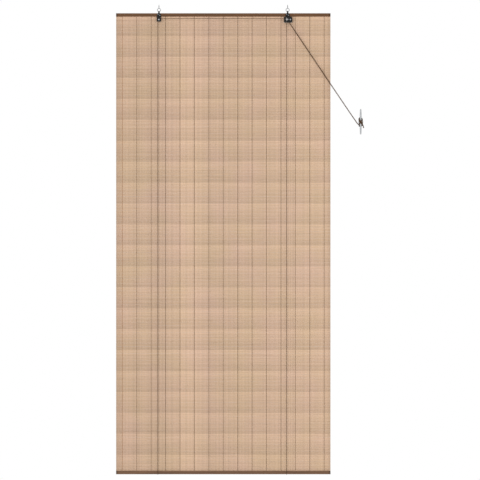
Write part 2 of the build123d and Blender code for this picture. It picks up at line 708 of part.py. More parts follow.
with BuildLine(facing(REAR_CORD_Y)) as left_over_path:
    Line((LEFT_CORD_X, front_run_top_z), (LEFT_CORD_X, SHEAVE_Z))
    CenterArc((-EYE_X, SHEAVE_Z), SHEAVE_PITCH_RADIUS, 180, -90)
    Line((-EYE_X, CORD_TOP_Z), (EYE_X, CORD_TOP_Z))
    CenterArc((EYE_X, SHEAVE_Z), SHEAVE_PITCH_RADIUS, 90, -90)
    Line((LOCK_CORD_X, SHEAVE_Z), (LOCK_CORD_X, GUIDE_Z))
    CenterArc((GUIDE_X, GUIDE_Z), GUIDE_REACH, 180, exit_turn)
with BuildPart() as cross_cord:
    add(tube(left_over_path.line, CORD))
finish(cross_cord, "cross_cord")

with BuildLine(facing(FRONT_CORD_Y)) as right_over_path:
    Line((RIGHT_CORD_X, front_run_top_z), (RIGHT_CORD_X, SHEAVE_Z))
    CenterArc((EYE_X, SHEAVE_Z), SHEAVE_PITCH_RADIUS, 180, -180)
    Line((LOCK_CORD_X, SHEAVE_Z), (LOCK_CORD_X, GUIDE_Z))
    CenterArc((GUIDE_X, GUIDE_Z), GUIDE_REACH, 180, exit_turn)
with BuildPart() as right_over_cord:
    add(tube(right_over_path.line, CORD))
finish(right_over_cord, "right_over_cord")

# Cleat: foot on the wall, stem, and a bar with a horn at each end
foot_front_y = WALL_Y - FOOT_HEIGHT
bar_back_y = foot_front_y - STEM_HEIGHT
bar_front_y = bar_back_y - HORN_DEPTH
tip_back_y = bar_back_y - HORN_SWEEP
tip_front_y = tip_back_y - HORN_TIP_DEPTH
cleat_top, cleat_foot = CLEAT_Z + CLEAT_LENGTH / 2, CLEAT_Z - CLEAT_LENGTH / 2
screw_line = [
    (CLEAT_X, CLEAT_Z + side * CLEAT_SCREW_SPACING / 2) for side in (-1, 1)
]

with BuildPart() as cleat:
    with BuildSketch(Plane.YZ.offset(CLEAT_X)):
        with BuildLine():
            front = ThreePointArc(
                (tip_front_y, cleat_top), (bar_front_y, CLEAT_Z), (tip_front_y, cleat_foot)
            )
            Line(front @ 1, (tip_back_y, cleat_foot))
            back = ThreePointArc(
                (tip_back_y, cleat_foot), (bar_back_y, CLEAT_Z), (tip_back_y, cleat_top)
            )
            Line(back @ 1, front @ 0)
        make_face()
    extrude(amount=CLEAT_WIDTH / 2, both=True)
    with BuildSketch(facing(bar_back_y + CUT_OVERRUN)):
        with BuildLine():
            right = ThreePointArc(
                (CLEAT_X + CLEAT_TIP_WIDTH / 2, cleat_top - CLEAT_TIP_WIDTH / 2),
                (CLEAT_X + CLEAT_WIDTH / 2, CLEAT_Z),
                (CLEAT_X + CLEAT_TIP_WIDTH / 2, cleat_foot + CLEAT_TIP_WIDTH / 2),
            )
            ThreePointArc(
                right @ 1,
                (CLEAT_X, cleat_foot),
                (CLEAT_X - CLEAT_TIP_WIDTH / 2, cleat_foot + CLEAT_TIP_WIDTH / 2),
            )
            left = ThreePointArc(
                (CLEAT_X - CLEAT_TIP_WIDTH / 2, cleat_foot + CLEAT_TIP_WIDTH / 2),
                (CLEAT_X - CLEAT_WIDTH / 2, CLEAT_Z),
                (CLEAT_X - CLEAT_TIP_WIDTH / 2, cleat_top - CLEAT_TIP_WIDTH / 2),
            )
            ThreePointArc(left @ 1, (CLEAT_X, cleat_top), right @ 0)
        make_face()
    extrude(
        amount=bar_back_y - tip_front_y + 2 * CUT_OVERRUN + HORN_DEPTH,
        mode=Mode.INTERSECT,
    )
    fillet(cleat.faces().sort_by(Axis.Y)[0].edges(), CLEAT_ROUND)
    with BuildSketch(facing(foot_front_y)):
        with Locations((CLEAT_X, CLEAT_Z)):
            SlotOverall(STEM_LENGTH, STEM_WIDTH, rotation=90)
    extrude(amount=STEM_HEIGHT + HORN_DEPTH / 2)
    with BuildSketch(facing(WALL_Y)):
        with Locations((CLEAT_X, CLEAT_Z)):
            SlotOverall(FOOT_LENGTH, FOOT_WIDTH, rotation=90)
    extrude(amount=FOOT_HEIGHT)
    screw_drills = rods(
        screw_line,
        CLEAT_SCREW + 2 * CLEAT_SCREW_FIT,
        WALL_Y + CUT_OVERRUN,
        bar_front_y - CUT_OVERRUN,
    )
    add(screw_drills, mode=Mode.SUBTRACT)
    head_sinks = rods(
        screw_line,
        CLEAT_SCREW_HEAD + 2 * CLEAT_SCREW_FIT,
        bar_front_y + CLEAT_SCREW_SINK,
        bar_front_y - CUT_OVERRUN,
    )
    add(head_sinks, mode=Mode.SUBTRACT)
finish(cleat, "cleat")

# Cleat screws, with their heads sunk in the bar and their threads in the wall
thread_back_y = WALL_Y + CLEAT_SCREW_THREAD
with BuildPart() as cleat_screws:
    add(rods(screw_line, CLEAT_SCREW, thread_back_y - CLEAT_SCREW_POINT, WALL_Y))
    add(rods(screw_line, CLEAT_SCREW_SHANK, WALL_Y, bar_front_y + CLEAT_SCREW_SINK))
    add(
        rods(
            screw_line,
            CLEAT_SCREW_HEAD,
            bar_front_y + CLEAT_SCREW_SINK,
            bar_front_y + CLEAT_SCREW_SINK - CLEAT_SCREW_HEAD_HEIGHT,
        )
    )
    for x, z in screw_line:
        with BuildSketch(facing(thread_back_y - CLEAT_SCREW_POINT)):
            with Locations((x, z)):
                Circle(CLEAT_SCREW / 2)
        with BuildSketch(facing(thread_back_y)):
            with Locations((x, z)):
                Circle(CLEAT_SCREW_TIP / 2)
        loft()
finish(cleat_screws, "cleat_screws")

# Hitch: turns round the stem behind the bar, and their crossing over its front
hitch_front_y = bar_back_y + SEAT
hitch_back_y = hitch_front_y + HITCH_TURNS * HITCH_PITCH
saddle_half = STEM_WIDTH / 2 + turn_build
saddle_front_y = bar_front_y - SEAT - HITCH_TURNS * HITCH_PITCH

with BuildPart() as cleat_hitch:
    with BuildSketch(facing(hitch_back_y)):
        with Locations((CLEAT_X, CLEAT_Z)):
            SlotOverall(
                STEM_LENGTH + 2 * turn_build, STEM_WIDTH + 2 * turn_build, rotation=90
            )
            SlotOverall(
                STEM_LENGTH + 2 * SEAT,
                STEM_WIDTH + 2 * SEAT,
                rotation=90,
                mode=Mode.SUBTRACT,
            )
    extrude(amount=HITCH_TURNS * HITCH_PITCH)
    with BuildSketch(Plane.XY.offset(CLEAT_Z)):
        with BuildLine():
            Polyline(
                (CLEAT_X - saddle_half, hitch_front_y),
                (CLEAT_X - saddle_half, saddle_front_y),
                (CLEAT_X + saddle_half, saddle_front_y),
                (CLEAT_X + saddle_half, hitch_front_y),
                (CLEAT_X + STEM_WIDTH / 2 + SEAT, hitch_front_y),
                (CLEAT_X + STEM_WIDTH / 2 + SEAT, bar_front_y - SEAT),
                (CLEAT_X - STEM_WIDTH / 2 - SEAT, bar_front_y - SEAT),
                (CLEAT_X - STEM_WIDTH / 2 - SEAT, hitch_front_y),
                close=True,
            )
        make_face()
    extrude(amount=SADDLE_LENGTH / 2, both=True)
    crown = cleat_hitch.edges().filter_by(Axis.Z).group_by(Axis.Y)[0]
    fillet(crown, HITCH_ROUND)
finish(cleat_hitch, "cleat_hitch")

# Pull cords from the lock to the hitch, and their tails
pull_depths = [
    hitch_front_y + HITCH_PITCH / 2 + n * HITCH_PITCH for n in range(HITCH_TURNS)
]
pull_starts = {"right_pull_cord": FRONT_CORD_Y, "left_pull_cord": REAR_CORD_Y}
for (name, start_y), end_y in zip(pull_starts.items(), pull_depths):
    with BuildLine() as pull_line:
        Line((exit_x, start_y, exit_z), (reach_x, end_y, reach_z))
    with BuildPart() as pull_cord:
        add(tube(pull_line.line, CORD))
    finish(pull_cord, name)
    print(name, "straight run", round(sum(run.length for run in pull_line.edges()), 1))

tail_foot = (CLEAT_X + TAIL_ROUTE[-1][0], CLEAT_Z + TAIL_ROUTE[-1][1])
with BuildPart() as cord_tails:
    for depth in pull_depths:
        with BuildLine(facing(depth)) as tail_path:
            FilletPolyline(
                *[(CLEAT_X + x, CLEAT_Z + z) for x, z in TAIL_ROUTE], radius=TAIL_RADII
            )
        add(tube(tail_path.line, CORD))
finish(cord_tails, "cord_tails")

with BuildPart() as tail_knot:
    with BuildSketch(Plane.XY.offset(tail_foot[1] - CORD_JOIN)):
        with Locations((tail_foot[0], sum(pull_depths) / 2)):
            Circle(TAIL_KNOT_RADIUS)
    extrude(amount=-TAIL_KNOT_HEIGHT)
    fillet(tail_knot.edges().filter_by(GeomType.CIRCLE).group_by(Axis.Z)[0], KNOT_ROUND)
finish(tail_knot, "tail_knot")

bend_radii = (SHEAVE_PITCH_RADIUS, round(GUIDE_REACH, 2), SLING_CORNER, *TAIL_RADII)
print("cord radius", CORD / 2, "bends at the sheaves, pin, slings and tails", bend_radii)
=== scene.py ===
"""Bamboo roller blind: slats, threads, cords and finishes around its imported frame.

The frame is that of the hung blind: +X right, +Y to the wall, +Z up. Lengths are in metres,
apart from the places of cords and knots, which are in millimetres.
"""

from math import cos, pi, sin, tau

import bpy
from bpy.props import FloatProperty, FloatVectorProperty, IntProperty, PointerProperty
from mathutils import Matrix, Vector


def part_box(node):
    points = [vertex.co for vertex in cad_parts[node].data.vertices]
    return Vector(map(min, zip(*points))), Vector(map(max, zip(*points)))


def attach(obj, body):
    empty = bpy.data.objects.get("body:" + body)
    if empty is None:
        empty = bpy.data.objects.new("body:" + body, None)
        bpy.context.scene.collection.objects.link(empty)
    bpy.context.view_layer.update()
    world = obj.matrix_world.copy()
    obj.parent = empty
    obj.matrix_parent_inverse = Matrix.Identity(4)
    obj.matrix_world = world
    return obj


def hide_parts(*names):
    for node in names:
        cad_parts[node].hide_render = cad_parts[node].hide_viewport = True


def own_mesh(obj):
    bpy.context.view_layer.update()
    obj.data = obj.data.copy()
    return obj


bl_info = {
    "name": "Bamboo Roller Blind",
    "version": (1, 0, 0),
    "blender": (4, 5, 0),
    "location": "View3D > Sidebar > Blind",
    "description": "Dresses the frame of a bamboo roller blind with slats, threads and cords",
    "category": "Add Mesh",
}

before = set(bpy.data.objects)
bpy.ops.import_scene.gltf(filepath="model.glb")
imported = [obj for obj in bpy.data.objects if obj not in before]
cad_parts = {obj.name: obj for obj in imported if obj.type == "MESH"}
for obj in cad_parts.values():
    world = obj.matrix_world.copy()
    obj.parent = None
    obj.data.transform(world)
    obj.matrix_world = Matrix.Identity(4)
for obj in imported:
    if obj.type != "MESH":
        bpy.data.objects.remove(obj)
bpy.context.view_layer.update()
MM = 0.001

# Places that the cords share with the frame, in millimetres
EYE_X = 300.0
SHEAVE_Z = -55.5
SHEAVE_RADIUS = 5.0  # to the middle of the cord
REAR_Y = -6.05  # cord over the left sheave and the lock's rear one
FRONT_Y = -10.7  # cord over the lock's front sheave
RUN_TOP_Z = -58.5
RUN_FOOT_Z = -2167.55
SLING_TOP_Z = -2167.7
SLING_MIDDLE_Z = -2172.0
SLING_FOOT_Z = -2176.7
SLING_FRONT_Y = -3.6
SLING_BACK_Y = 11.2
BACK_RUN_TOP_Z = -28.7
BACK_RUN_MIDDLE_Z = -35.0
LATH_FOOT_Z = -40.2
LOCK_FALL_Z = -60.0  # where the cords have left the lock's sheaves
LOCK_MOUTH = (305.0, -66.55)
EXIT = (305.59, -67.43)  # where the pull cords leave the lock
EXIT_HEADING = (0.5585, -0.8295)
STRAIGHT_LEAD = 14.4  # from the exit to where the two cords lie apart
PULL_RUN = 565.0  # from the exit to the first turn on the cleat
CORDS_ASIDE = 1.25  # from each of them to the middle between them
CLEAT = (640.0, -532.0)  # middle of its bar
OCTAGON_SHARE = 0.4142  # of a radius, for an octagon's corners round a circle
PLATE_Y = -3.6  # front of the brackets' plates
BARE_TOP_Z = -45.5  # top of the bare steel inside the two blocks

# Knots, in millimetres: their places, then width, height and half the width of the cord
ANCHOR_KNOT_PLACE = (12.4, -26.3)
ANCHOR_KNOT = (4.8, 4.6, 0.85)
TAIL_KNOT_PLACE = (13.6, -5.3, -25.6)
TAIL_KNOT = (6.6, 6.2, 1.15)
KNOT_POINTS = 60
KNOT_OPEN_SHARE = 0.985  # of a full round, so that the knot's line doesn't close

# Weaving and laying
SLAT_SEED = 7
SLAT_SECTIONS = 25
EDGE_SHARE = 0.3  # of a slat's height, from its middle: points beyond it are on its edges
BEVEL_START_SHARE = 0.41  # of a slat's height, from its middle
BEVEL_SHARE = 0.5  # of a slat's thickness
STEPS_PER_SLAT = 4  # points of a thread on each slat
THREAD_BOW = (-0.12, 1.06)  # share of its reach: per point from a slat's middle, and there
THREAD_LEAN_SHARE = 0.45  # of a thread's radius, to its own side of the line
THREAD_REACH_SHARE = 0.55  # of a thread's radius, before the face of a slat
SCREW_SEED = 5
SCREW_SLOT_SHARES = (0.16, 1.2)  # of a head's width, across and along
SCREW_SLOT_LIFT = 1.05  # of a head's rise
CRISP_ANGLE = 0.6  # a screw's edges that bend more stay sharp
STRAND_SWELL_SHARE = 0.08  # of a cord's radius
FINE_STEP = 0.0008
KNOT_STEP = 0.0006

# Finishes
# Broad change of tone across the mat, from its left side to its right
COLUMN_TONES = (
    (0.0, 0.50), (0.20, 0.22), (0.27, 0.40), (0.335, 0.95),
    (0.46, 0.34), (0.60, 0.42), (0.76, 0.60), (1.0, 0.98),
)
SELVEDGE_X = (-0.45, -0.44)  # between the paler left-hand line of thread and the rest
LATH_END_X = (0.489, 0.498)  # where the cut ends of the laths get darker
PAINTED_LIGHT_UNDER_LATH_Z = (-0.056, -0.041)  # painted light: a paler strip of mat under the top lath, lifting the lath's shadow there
JOINT_STAGGER = 0.67  # how far apart the joints of two canes can lie
JOINT_HALF_PITCH = 0.17
JOINT_REACH = (0.0003, 0.0014)  # from a joint's middle: all of its shade, and none
SCUFF_SIZE = 140.0

# Studio
LENS = 135.0
SENSOR = 36.0
VIEW_WIDTH = 2.240  # what the camera sees at the blind
VIEW_MIDDLE = (0.0779, 0.004, -1.0827)
LIGHTS_AIM = (0.05, 0.0, -1.1)
AMBIENT = 0.82
FLOOR_LOW, FLOOR_HIGH, FLOOR_LEVEL = (-12.0, -12.0), (12.0, 8.0), -3.4

# Turns of the two pull cords on the cleat, from the middle of its bar, and their tails
RIGHT_TURNS = (
    (-17.7, -6.6, -3.6), (-8.5, -6.0, -12.9), (-1.7, -6.1, -17.9), (4.3, -6.0, -16.6),
    (7.9, -6.2, -10.6), (10.6, -6.3, -3.6), (10.4, -6.4, 3.4), (7.5, -6.8, 10.2),
    (4.8, -7.0, 16.0), (-0.2, -6.9, 17.9), (-5.4, -6.5, 15.6), (-6.4, -10.1, 13.2),
    (-6.5, -15.7, 10.8), (-3.1, -17.4, 7.2), (1.7, -16.5, 2.4), (6.4, -16.5, -2.2),
    (9.5, -13.5, -7.4), (10.3, -10.6, -13.6), (7.5, -7.8, -19.5), (1.1, -6.5, -21.4),
    (-5.2, -6.9, -21.4), (-8.3, -10.5, -17.6), (-9.1, -14.7, -11.8), (-6.2, -18.3, -5.7),
    (-1.5, -19.9, 0.0), (3.1, -18.6, 5.3), (6.5, -15.1, 9.9), (7.5, -10.7, 14.3),
    (5.8, -6.9, 18.7), (-0.3, -6.6, 20.4), (-6.9, -7.4, 18.0), (-9.3, -10.0, 12.7),
    (-8.8, -13.1, 7.4), (-5.9, -16.4, 2.9), (-1.2, -17.1, -1.8), (3.5, -17.0, -7.0),
    (7.9, -15.4, -11.5), (11.6, -12.4, -15.3), (13.7, -9.1, -19.0), (14.4, -6.5, -23.2),
)
LEFT_TURNS = (
    (-19.7, -4.0, -5.0), (-9.3, -3.7, -13.9), (-2.1, -3.6, -17.8), (4.2, -3.5, -16.8),
    (7.1, -3.6, -11.1), (7.6, -3.6, -3.7), (7.6, -3.6, 3.8), (7.0, -3.5, 10.6),
    (5.0, -3.0, 15.9), (-0.2, -2.2, 18.0), (-4.9, -3.2, 15.7), (-6.5, -7.2, 11.9),
    (-6.6, -13.1, 9.0), (-5.3, -17.2, 5.5), (0.2, -17.1, 0.4), (5.4, -16.8, -4.7),
    (7.5, -13.0, -9.6), (7.5, -8.6, -14.6), (5.7, -5.5, -18.4), (0.8, -4.5, -19.7),
    (-4.4, -5.6, -19.2), (-6.4, -9.3, -16.2), (-6.4, -14.7, -11.6), (-3.8, -18.9, -6.8),
    (0.7, -20.0, -1.4), (4.9, -18.2, 3.6), (8.1, -13.6, 7.8), (9.3, -8.8, 12.5),
    (6.8, -5.1, 16.9), (-0.5, -4.5, 19.0), (-7.2, -5.1, 17.0), (-9.4, -8.0, 10.9),
    (-8.4, -11.6, 4.9), (-6.7, -16.1, -0.1), (-2.2, -16.9, -4.6), (2.9, -17.2, -9.8),
    (7.1, -15.6, -14.4), (10.0, -11.4, -18.1), (11.5, -7.1, -20.5), (12.9, -4.1, -23.2),
)


# Sizes and colours that a user would change


def length(name, text, value):
    """A size in metres."""
    return FloatProperty(name=name, description=text, default=value, unit="LENGTH", precision=5)


def colour(name, text, value):
    """A linear colour."""
    return FloatVectorProperty(
        name=name, description=text, default=value, subtype="COLOR", min=0, max=1
    )


def count(name, text, value):
    """A number of like pieces."""
    return IntProperty(name=name, description=text, default=value, min=2)


class BlindSizes(bpy.types.PropertyGroup):
    """Sizes of the blind's woven and laid pieces"""

    slat_pitch: length("Slat pitch", "From one slat to the next", 0.00814)
    slat_height: length("Slat height", "Height of one slat", 0.00800)
    slat_thickness: length("Slat thickness", "Depth of one slat", 0.0016)
    pair_shift: length("Pair shift", "How far the slats of a pair draw together", 0.00004)
    slat_wave: length("Slat wave", "How far a slat wanders from its line", 0.00025)
    band_slats: count("Slats in a band", "Slats cut from one cane in turn", 12)
    thread_radius: length("Thread radius", "Half the width of a warp thread", 0.00075)
    thread_lines: count("Thread lines", "Lines of thread across the mat", 15)
    thread_pitch: length("Thread pitch", "From one line of thread to the next", 0.0673)
    cord_diameter: length("Cord diameter", "Width of every cord", 0.0024)
    cord_lay: length("Cord lay", "Length in which the strands go round once", 0.0084)
    ring_step: length("Cord step", "From one section of a cord's mesh to the next", 0.0012)
    screw_head: length("Screw head", "Width of the bracket screws' heads", 0.0046)
    screw_rise: length("Screw rise", "Height of the bracket screws' heads", 0.0013)
    screw_shank: length("Screw shank", "Width of the bracket screws' shanks", 0.0022)
    eye_thread_radius: length("Eye thread radius", "Middle of the ridge on the eyes", 0.00165)
    eye_thread_height: length("Eye thread height", "How far up the ridge winds", 0.0098)
    eye_thread_foot: length("Eye thread foot", "Where the ridge starts above the ceiling", 0.0005)
    eye_ridge: length("Eye ridge", "Half the width of the ridge", 0.00036)
    eye_turns: count("Eye turns", "Turns of thread on each eye", 7)


class BlindColours(bpy.types.PropertyGroup):
    """Colours of the blind's finishes"""

    bamboo: colour("Bamboo", "Face of the slats", (0.572, 0.393, 0.269))
    thread: colour("Thread", "Warp threads", (0.140, 0.072, 0.034))
    top_stain: colour("Top stain", "Stained wood of the top laths", (0.122, 0.055, 0.022))
    foot_stain: colour("Foot stain", "Stained wood of the bottom laths", (0.150, 0.080, 0.044))
    cord: colour("Cord", "Laid cords", (0.100, 0.052, 0.025))
    lacquer: colour("Lacquer", "Black lacquer of the brackets", (0.008, 0.008, 0.008))
    zinc: colour("Zinc", "Screw eyes, screws, rivets and staples", (0.29, 0.30, 0.31))
    # Painted light: the sheaves are paler than their moulding, to lift the shade inside the bracket
    # blocks
    sheave: colour("Sheave", "Moulded wheels", (0.62, 0.62, 0.60))
    cleat: colour("Cleat", "Cast metal of the cleat", (0.36, 0.37, 0.38))
    floor: colour("Floor", "Pale studio floor", (0.88, 0.88, 0.87))


# Node trees


def node(tree, kind, feeds=(), **settings):
    """A new node with its settings, and links or values for the inputs that are named."""
    made = tree.nodes.new(kind)
    for key, value in settings.items():
        setattr(made, key, value)
    for key, value in dict(feeds).items():
        if isinstance(value, bpy.types.NodeSocket):
            tree.links.new(value, made.inputs[key])
        else:
            made.inputs[key].default_value = value
    return made


def result(*parts, **settings):
    """The first output of a new node."""
    return node(*parts, **settings).outputs[0]


def sums(tree, operation, *values):
    """The result of one Math node."""
    return result(tree, "ShaderNodeMath", enumerate(values), operation=operation)


def times(tree, one, two):
    """Two values multiplied."""
    return sums(tree, "MULTIPLY", one, two)


def product(tree, one, two):
    """Two vectors multiplied part by part."""
    return result(tree, "ShaderNodeVectorMath", {0: one, 1: two}, operation="MULTIPLY")


def noise(tree, vector, scale, detail, shift=None, **feeds):
    """The outputs of a noise texture, with a fourth dimension where it has a shift."""
    feeds.update(Vector=vector, Scale=scale, Detail=detail)
    if shift is None:
        return node(tree, "ShaderNodeTexNoise", feeds).outputs
    feeds["W"] = shift
    return node(tree, "ShaderNodeTexNoise", feeds, noise_dimensions="4D").outputs


def triple(tree, x=0.0, y=0.0, z=0.0):
    """A vector from its three parts."""
    return result(tree, "ShaderNodeCombineXYZ", {0: x, 1: y, 2: z})


def axes(tree, vector):
    """The three parts of a vector."""
    return node(tree, "ShaderNodeSeparateXYZ", {0: vector}).outputs


def remap(tree, value, low, high, to_low, to_high):
    """A value moved from one range to another, and held at its ends."""
    feeds = {0: value, 1: low, 2: high, 3: to_low, 4: to_high}
    return result(tree, "ShaderNodeMapRange", feeds)


def new_tree(name, kind, inputs, outputs):
    """An empty node group with its sockets, and their two ends inside it."""
    tree = bpy.data.node_groups.new(name, kind)
    for direction, sockets in (("INPUT", inputs), ("OUTPUT", outputs)):
        for label, sort in sockets.items():
            tree.interface.new_socket(label, in_out=direction, socket_type="NodeSocket" + sort)
    start = tree.nodes.new("NodeGroupInput").outputs
    return tree, start, tree.nodes.new("NodeGroupOutput").inputs


def finish_tree(tree, start, ends, geometry):
    """Close a geometry tree: instances made real, then their material."""
    real = result(tree, "GeometryNodeRealizeInstances", {0: geometry})
    feeds = {"Geometry": real, "Material": start["Material"]}
    painted = result(tree, "GeometryNodeSetMaterial", feeds)
    tree.links.new(painted, ends["Geometry"])
    return tree


def new_object(name, data):
    """A new object in the scene."""
    made = bpy.data.objects.new(name, data)
    bpy.context.scene.collection.objects.link(made)
    return made


def grown(name, tree, values, points=()):
    """Run a geometry tree on some points and keep what it makes as a plain mesh."""
    mesh = bpy.data.meshes.new(name + "_points")
    mesh.from_pydata(points, [], [])
    piece = new_object(name, mesh)
    modifier = piece.modifiers.new(name, "NODES")
    modifier.node_group = tree
    for item in tree.interface.items_tree:
        if item.in_out == "INPUT" and item.name in values:
            modifier[item.identifier] = values[item.name]
    bpy.context.view_layer.update()
    depsgraph = bpy.context.evaluated_depsgraph_get()
    made = bpy.data.meshes.new_from_object(
        piece.evaluated_get(depsgraph), preserve_all_data_layers=True, depsgraph=depsgraph
    )
    if not made.polygons:
        raise RuntimeError(f"{name} came out empty")
    piece.modifiers.remove(modifier)
    piece.data = made
    made.name = name
    bpy.data.meshes.remove(mesh)
    return piece


def geometry_tree(name, numbers, counts=()):
    """An empty geometry tree with its named inputs."""
    sockets = {"Geometry": "Geometry", "Material": "Material"}
    sockets.update(dict.fromkeys(numbers, "Float"))
    sockets.update(dict.fromkeys(counts, "Int"))
    return new_tree(name, "GeometryNodeTree", sockets, {"Geometry": "Geometry"})


def row(tree, number, first, step):
    """Points in a row."""
    feeds = {"Count": number, "Start Location": first, "Offset": step}
    return result(tree, "GeometryNodeMeshLine", feeds)


def copied(tree, points, piece, **feeds):
    """A piece repeated on points."""
    feeds.update(Points=points, Instance=piece)
    return result(tree, "GeometryNodeInstanceOnPoints", feeds)


def placed(tree, geometry, **feeds):
    """Geometry whose points go to a Position or by an Offset."""
    return result(tree, "GeometryNodeSetPosition", {"Geometry": geometry, **feeds})


def transformed(tree, geometry, **feeds):
    """Geometry moved, turned or scaled as a whole."""
    return result(tree, "GeometryNodeTransform", {"Geometry": geometry, **feeds})


def swept(tree, path, radius, sides):
    """A round section with a few sides, swept along a path."""
    feeds = {"Resolution": sides, "Radius": radius}
    section = result(tree, "GeometryNodeCurvePrimitiveCircle", feeds)
    feeds = {"Curve": path, "Profile Curve": section, "Fill Caps": True}
    return result(tree, "GeometryNodeCurveToMesh", feeds)


def slat_tree():
    """Slats with bevelled long edges, drawn together in pairs and each a little wavy."""
    tree, start, ends = geometry_tree(
        "slat_weave",
        ("Length", "Pitch", "Height", "Thickness", "Pair Shift", "Wave", "Top", "Depth"),
        ("Count", "Band", "Seed"),
    )
    size = triple(tree, start["Length"], start["Thickness"], start["Height"])
    feeds = {"Size": size, "Vertices X": SLAT_SECTIONS, "Vertices Y": 2, "Vertices Z": 4}
    block = result(tree, "GeometryNodeMeshCube", feeds)
    x, y, z = axes(tree, result(tree, "GeometryNodeInputPosition"))
    share = sums(tree, "ABSOLUTE", sums(tree, "DIVIDE", z, start["Height"]))
    edge = sums(tree, "GREATER_THAN", share, EDGE_SHARE)
    bevel_start = times(tree, start["Height"], BEVEL_START_SHARE)
    face_z = times(tree, sums(tree, "SIGN", z), bevel_start)
    new_z = sums(tree, "MULTIPLY_ADD", edge, sums(tree, "SUBTRACT", z, face_z), face_z)
    new_y = times(tree, y, sums(tree, "MULTIPLY_ADD", edge, -BEVEL_SHARE, 1.0))
    slat = placed(tree, block, Position=triple(tree, x, new_y, new_z))
    top = sums(tree, "MULTIPLY_ADD", start["Pitch"], -0.5, start["Top"])
    first = triple(tree, 0.0, start["Depth"], top)
    drop = triple(tree, z=times(tree, start["Pitch"], -1.0))
    slats = copied(tree, row(tree, start["Count"], first, drop), slat)
    index = result(tree, "GeometryNodeInputIndex")
    place = sums(tree, "MODULO", index, start["Band"])
    last = sums(tree, "SUBTRACT", start["Band"], 1.0)
    lower = sums(tree, "MODULO", index, 2.0)
    upper = sums(tree, "SUBTRACT", 1.0, lower)
    inside_foot = sums(tree, "LESS_THAN", place, sums(tree, "SUBTRACT", last, 0.5))
    inside_top = sums(tree, "GREATER_THAN", place, 0.5)
    down, up = times(tree, upper, inside_top), times(tree, lower, inside_foot)
    pull = sums(tree, "SUBTRACT", up, down)
    shift = triple(tree, z=times(tree, pull, start["Pair Shift"]))
    feeds = {"Instances": slats, "Translation": shift, "Local Space": False}
    slats = result(tree, "GeometryNodeTranslateInstances", feeds)
    feeds = {"ID": index, "Seed": start["Seed"]}
    chance = node(tree, "FunctionNodeRandomValue", feeds, data_type="FLOAT").outputs[1]
    tone = sums(tree, "DIVIDE", place, last)
    for name, value in (("slat_band", tone), ("slat_seed", chance)):
        feeds = {"Geometry": slats, "Name": name, "Value": value}
        kind = {"data_type": "FLOAT", "domain": "INSTANCE"}
        slats = result(tree, "GeometryNodeStoreNamedAttribute", feeds, **kind)
    real = result(tree, "GeometryNodeRealizeInstances", {0: slats})
    feeds = {"Name": "slat_seed"}
    seed = result(tree, "GeometryNodeInputNamedAttribute", feeds, data_type="FLOAT")
    along = axes(tree, result(tree, "GeometryNodeInputPosition"))[0]
    wander = noise(tree, triple(tree, along), 5.0, 2.0, times(tree, seed, 97.0))["Color"]
    swing = [
        times(tree, sums(tree, "SUBTRACT", part, 0.5), start["Wave"])
        for part in axes(tree, wander)[1:]
    ]
    wavy = placed(tree, real, Offset=triple(tree, 0.0, *swing))
    across = axes(tree, result(tree, "GeometryNodeInputNormal"))[0]
    sides = sums(tree, "LESS_THAN", sums(tree, "ABSOLUTE", across), 0.5)
    feeds = {"Geometry": wavy, "Selection": sides}
    smooth = result(tree, "GeometryNodeSetShadeSmooth", feeds)
    return finish_tree(tree, start, ends, smooth)


def thread_tree():
    """One thread of each twisted pair: before one slat and behind the next, in every line."""
    tree, start, ends = geometry_tree(
        "twisted_threads",
        ("Line Pitch", "First", "Top", "Depth", "Reach", "Step", "Radius"),
        ("Lines", "Steps", "Lead", "Phase"),
    )
    first = triple(tree, 0.0, start["Depth"], start["Top"])
    drop = triple(tree, z=times(tree, start["Step"], -1.0))
    line = row(tree, start["Steps"], first, drop)
    index = sums(tree, "ADD", result(tree, "GeometryNodeInputIndex"), start["Lead"])
    slat = sums(tree, "FLOOR", sums(tree, "DIVIDE", index, STEPS_PER_SLAT))
    turn = sums(tree, "MODULO", sums(tree, "ADD", slat, start["Phase"]), 2.0)
    side = sums(tree, "MULTIPLY_ADD", turn, 2.0, -1.0)
    on_slat = sums(tree, "MODULO", index, STEPS_PER_SLAT)
    off_middle = sums(tree, "SUBTRACT", on_slat, (STEPS_PER_SLAT - 1) / 2)
    bow = sums(tree, "MULTIPLY_ADD", sums(tree, "ABSOLUTE", off_middle), *THREAD_BOW)
    reach = times(tree, times(tree, side, start["Reach"]), bow)
    lean = times(tree, side, times(tree, start["Radius"], THREAD_LEAN_SHARE))
    wound = placed(tree, line, Offset=triple(tree, lean, reach))
    path = result(tree, "GeometryNodeMeshToCurve", {0: wound})
    strand = swept(tree, path, start["Radius"], 5)
    smooth = result(tree, "GeometryNodeSetShadeSmooth", {"Geometry": strand})
    left, pitch = triple(tree, start["First"]), triple(tree, start["Line Pitch"])
    copies = copied(tree, row(tree, start["Lines"], left, pitch), smooth)
    return finish_tree(tree, start, ends, copies)


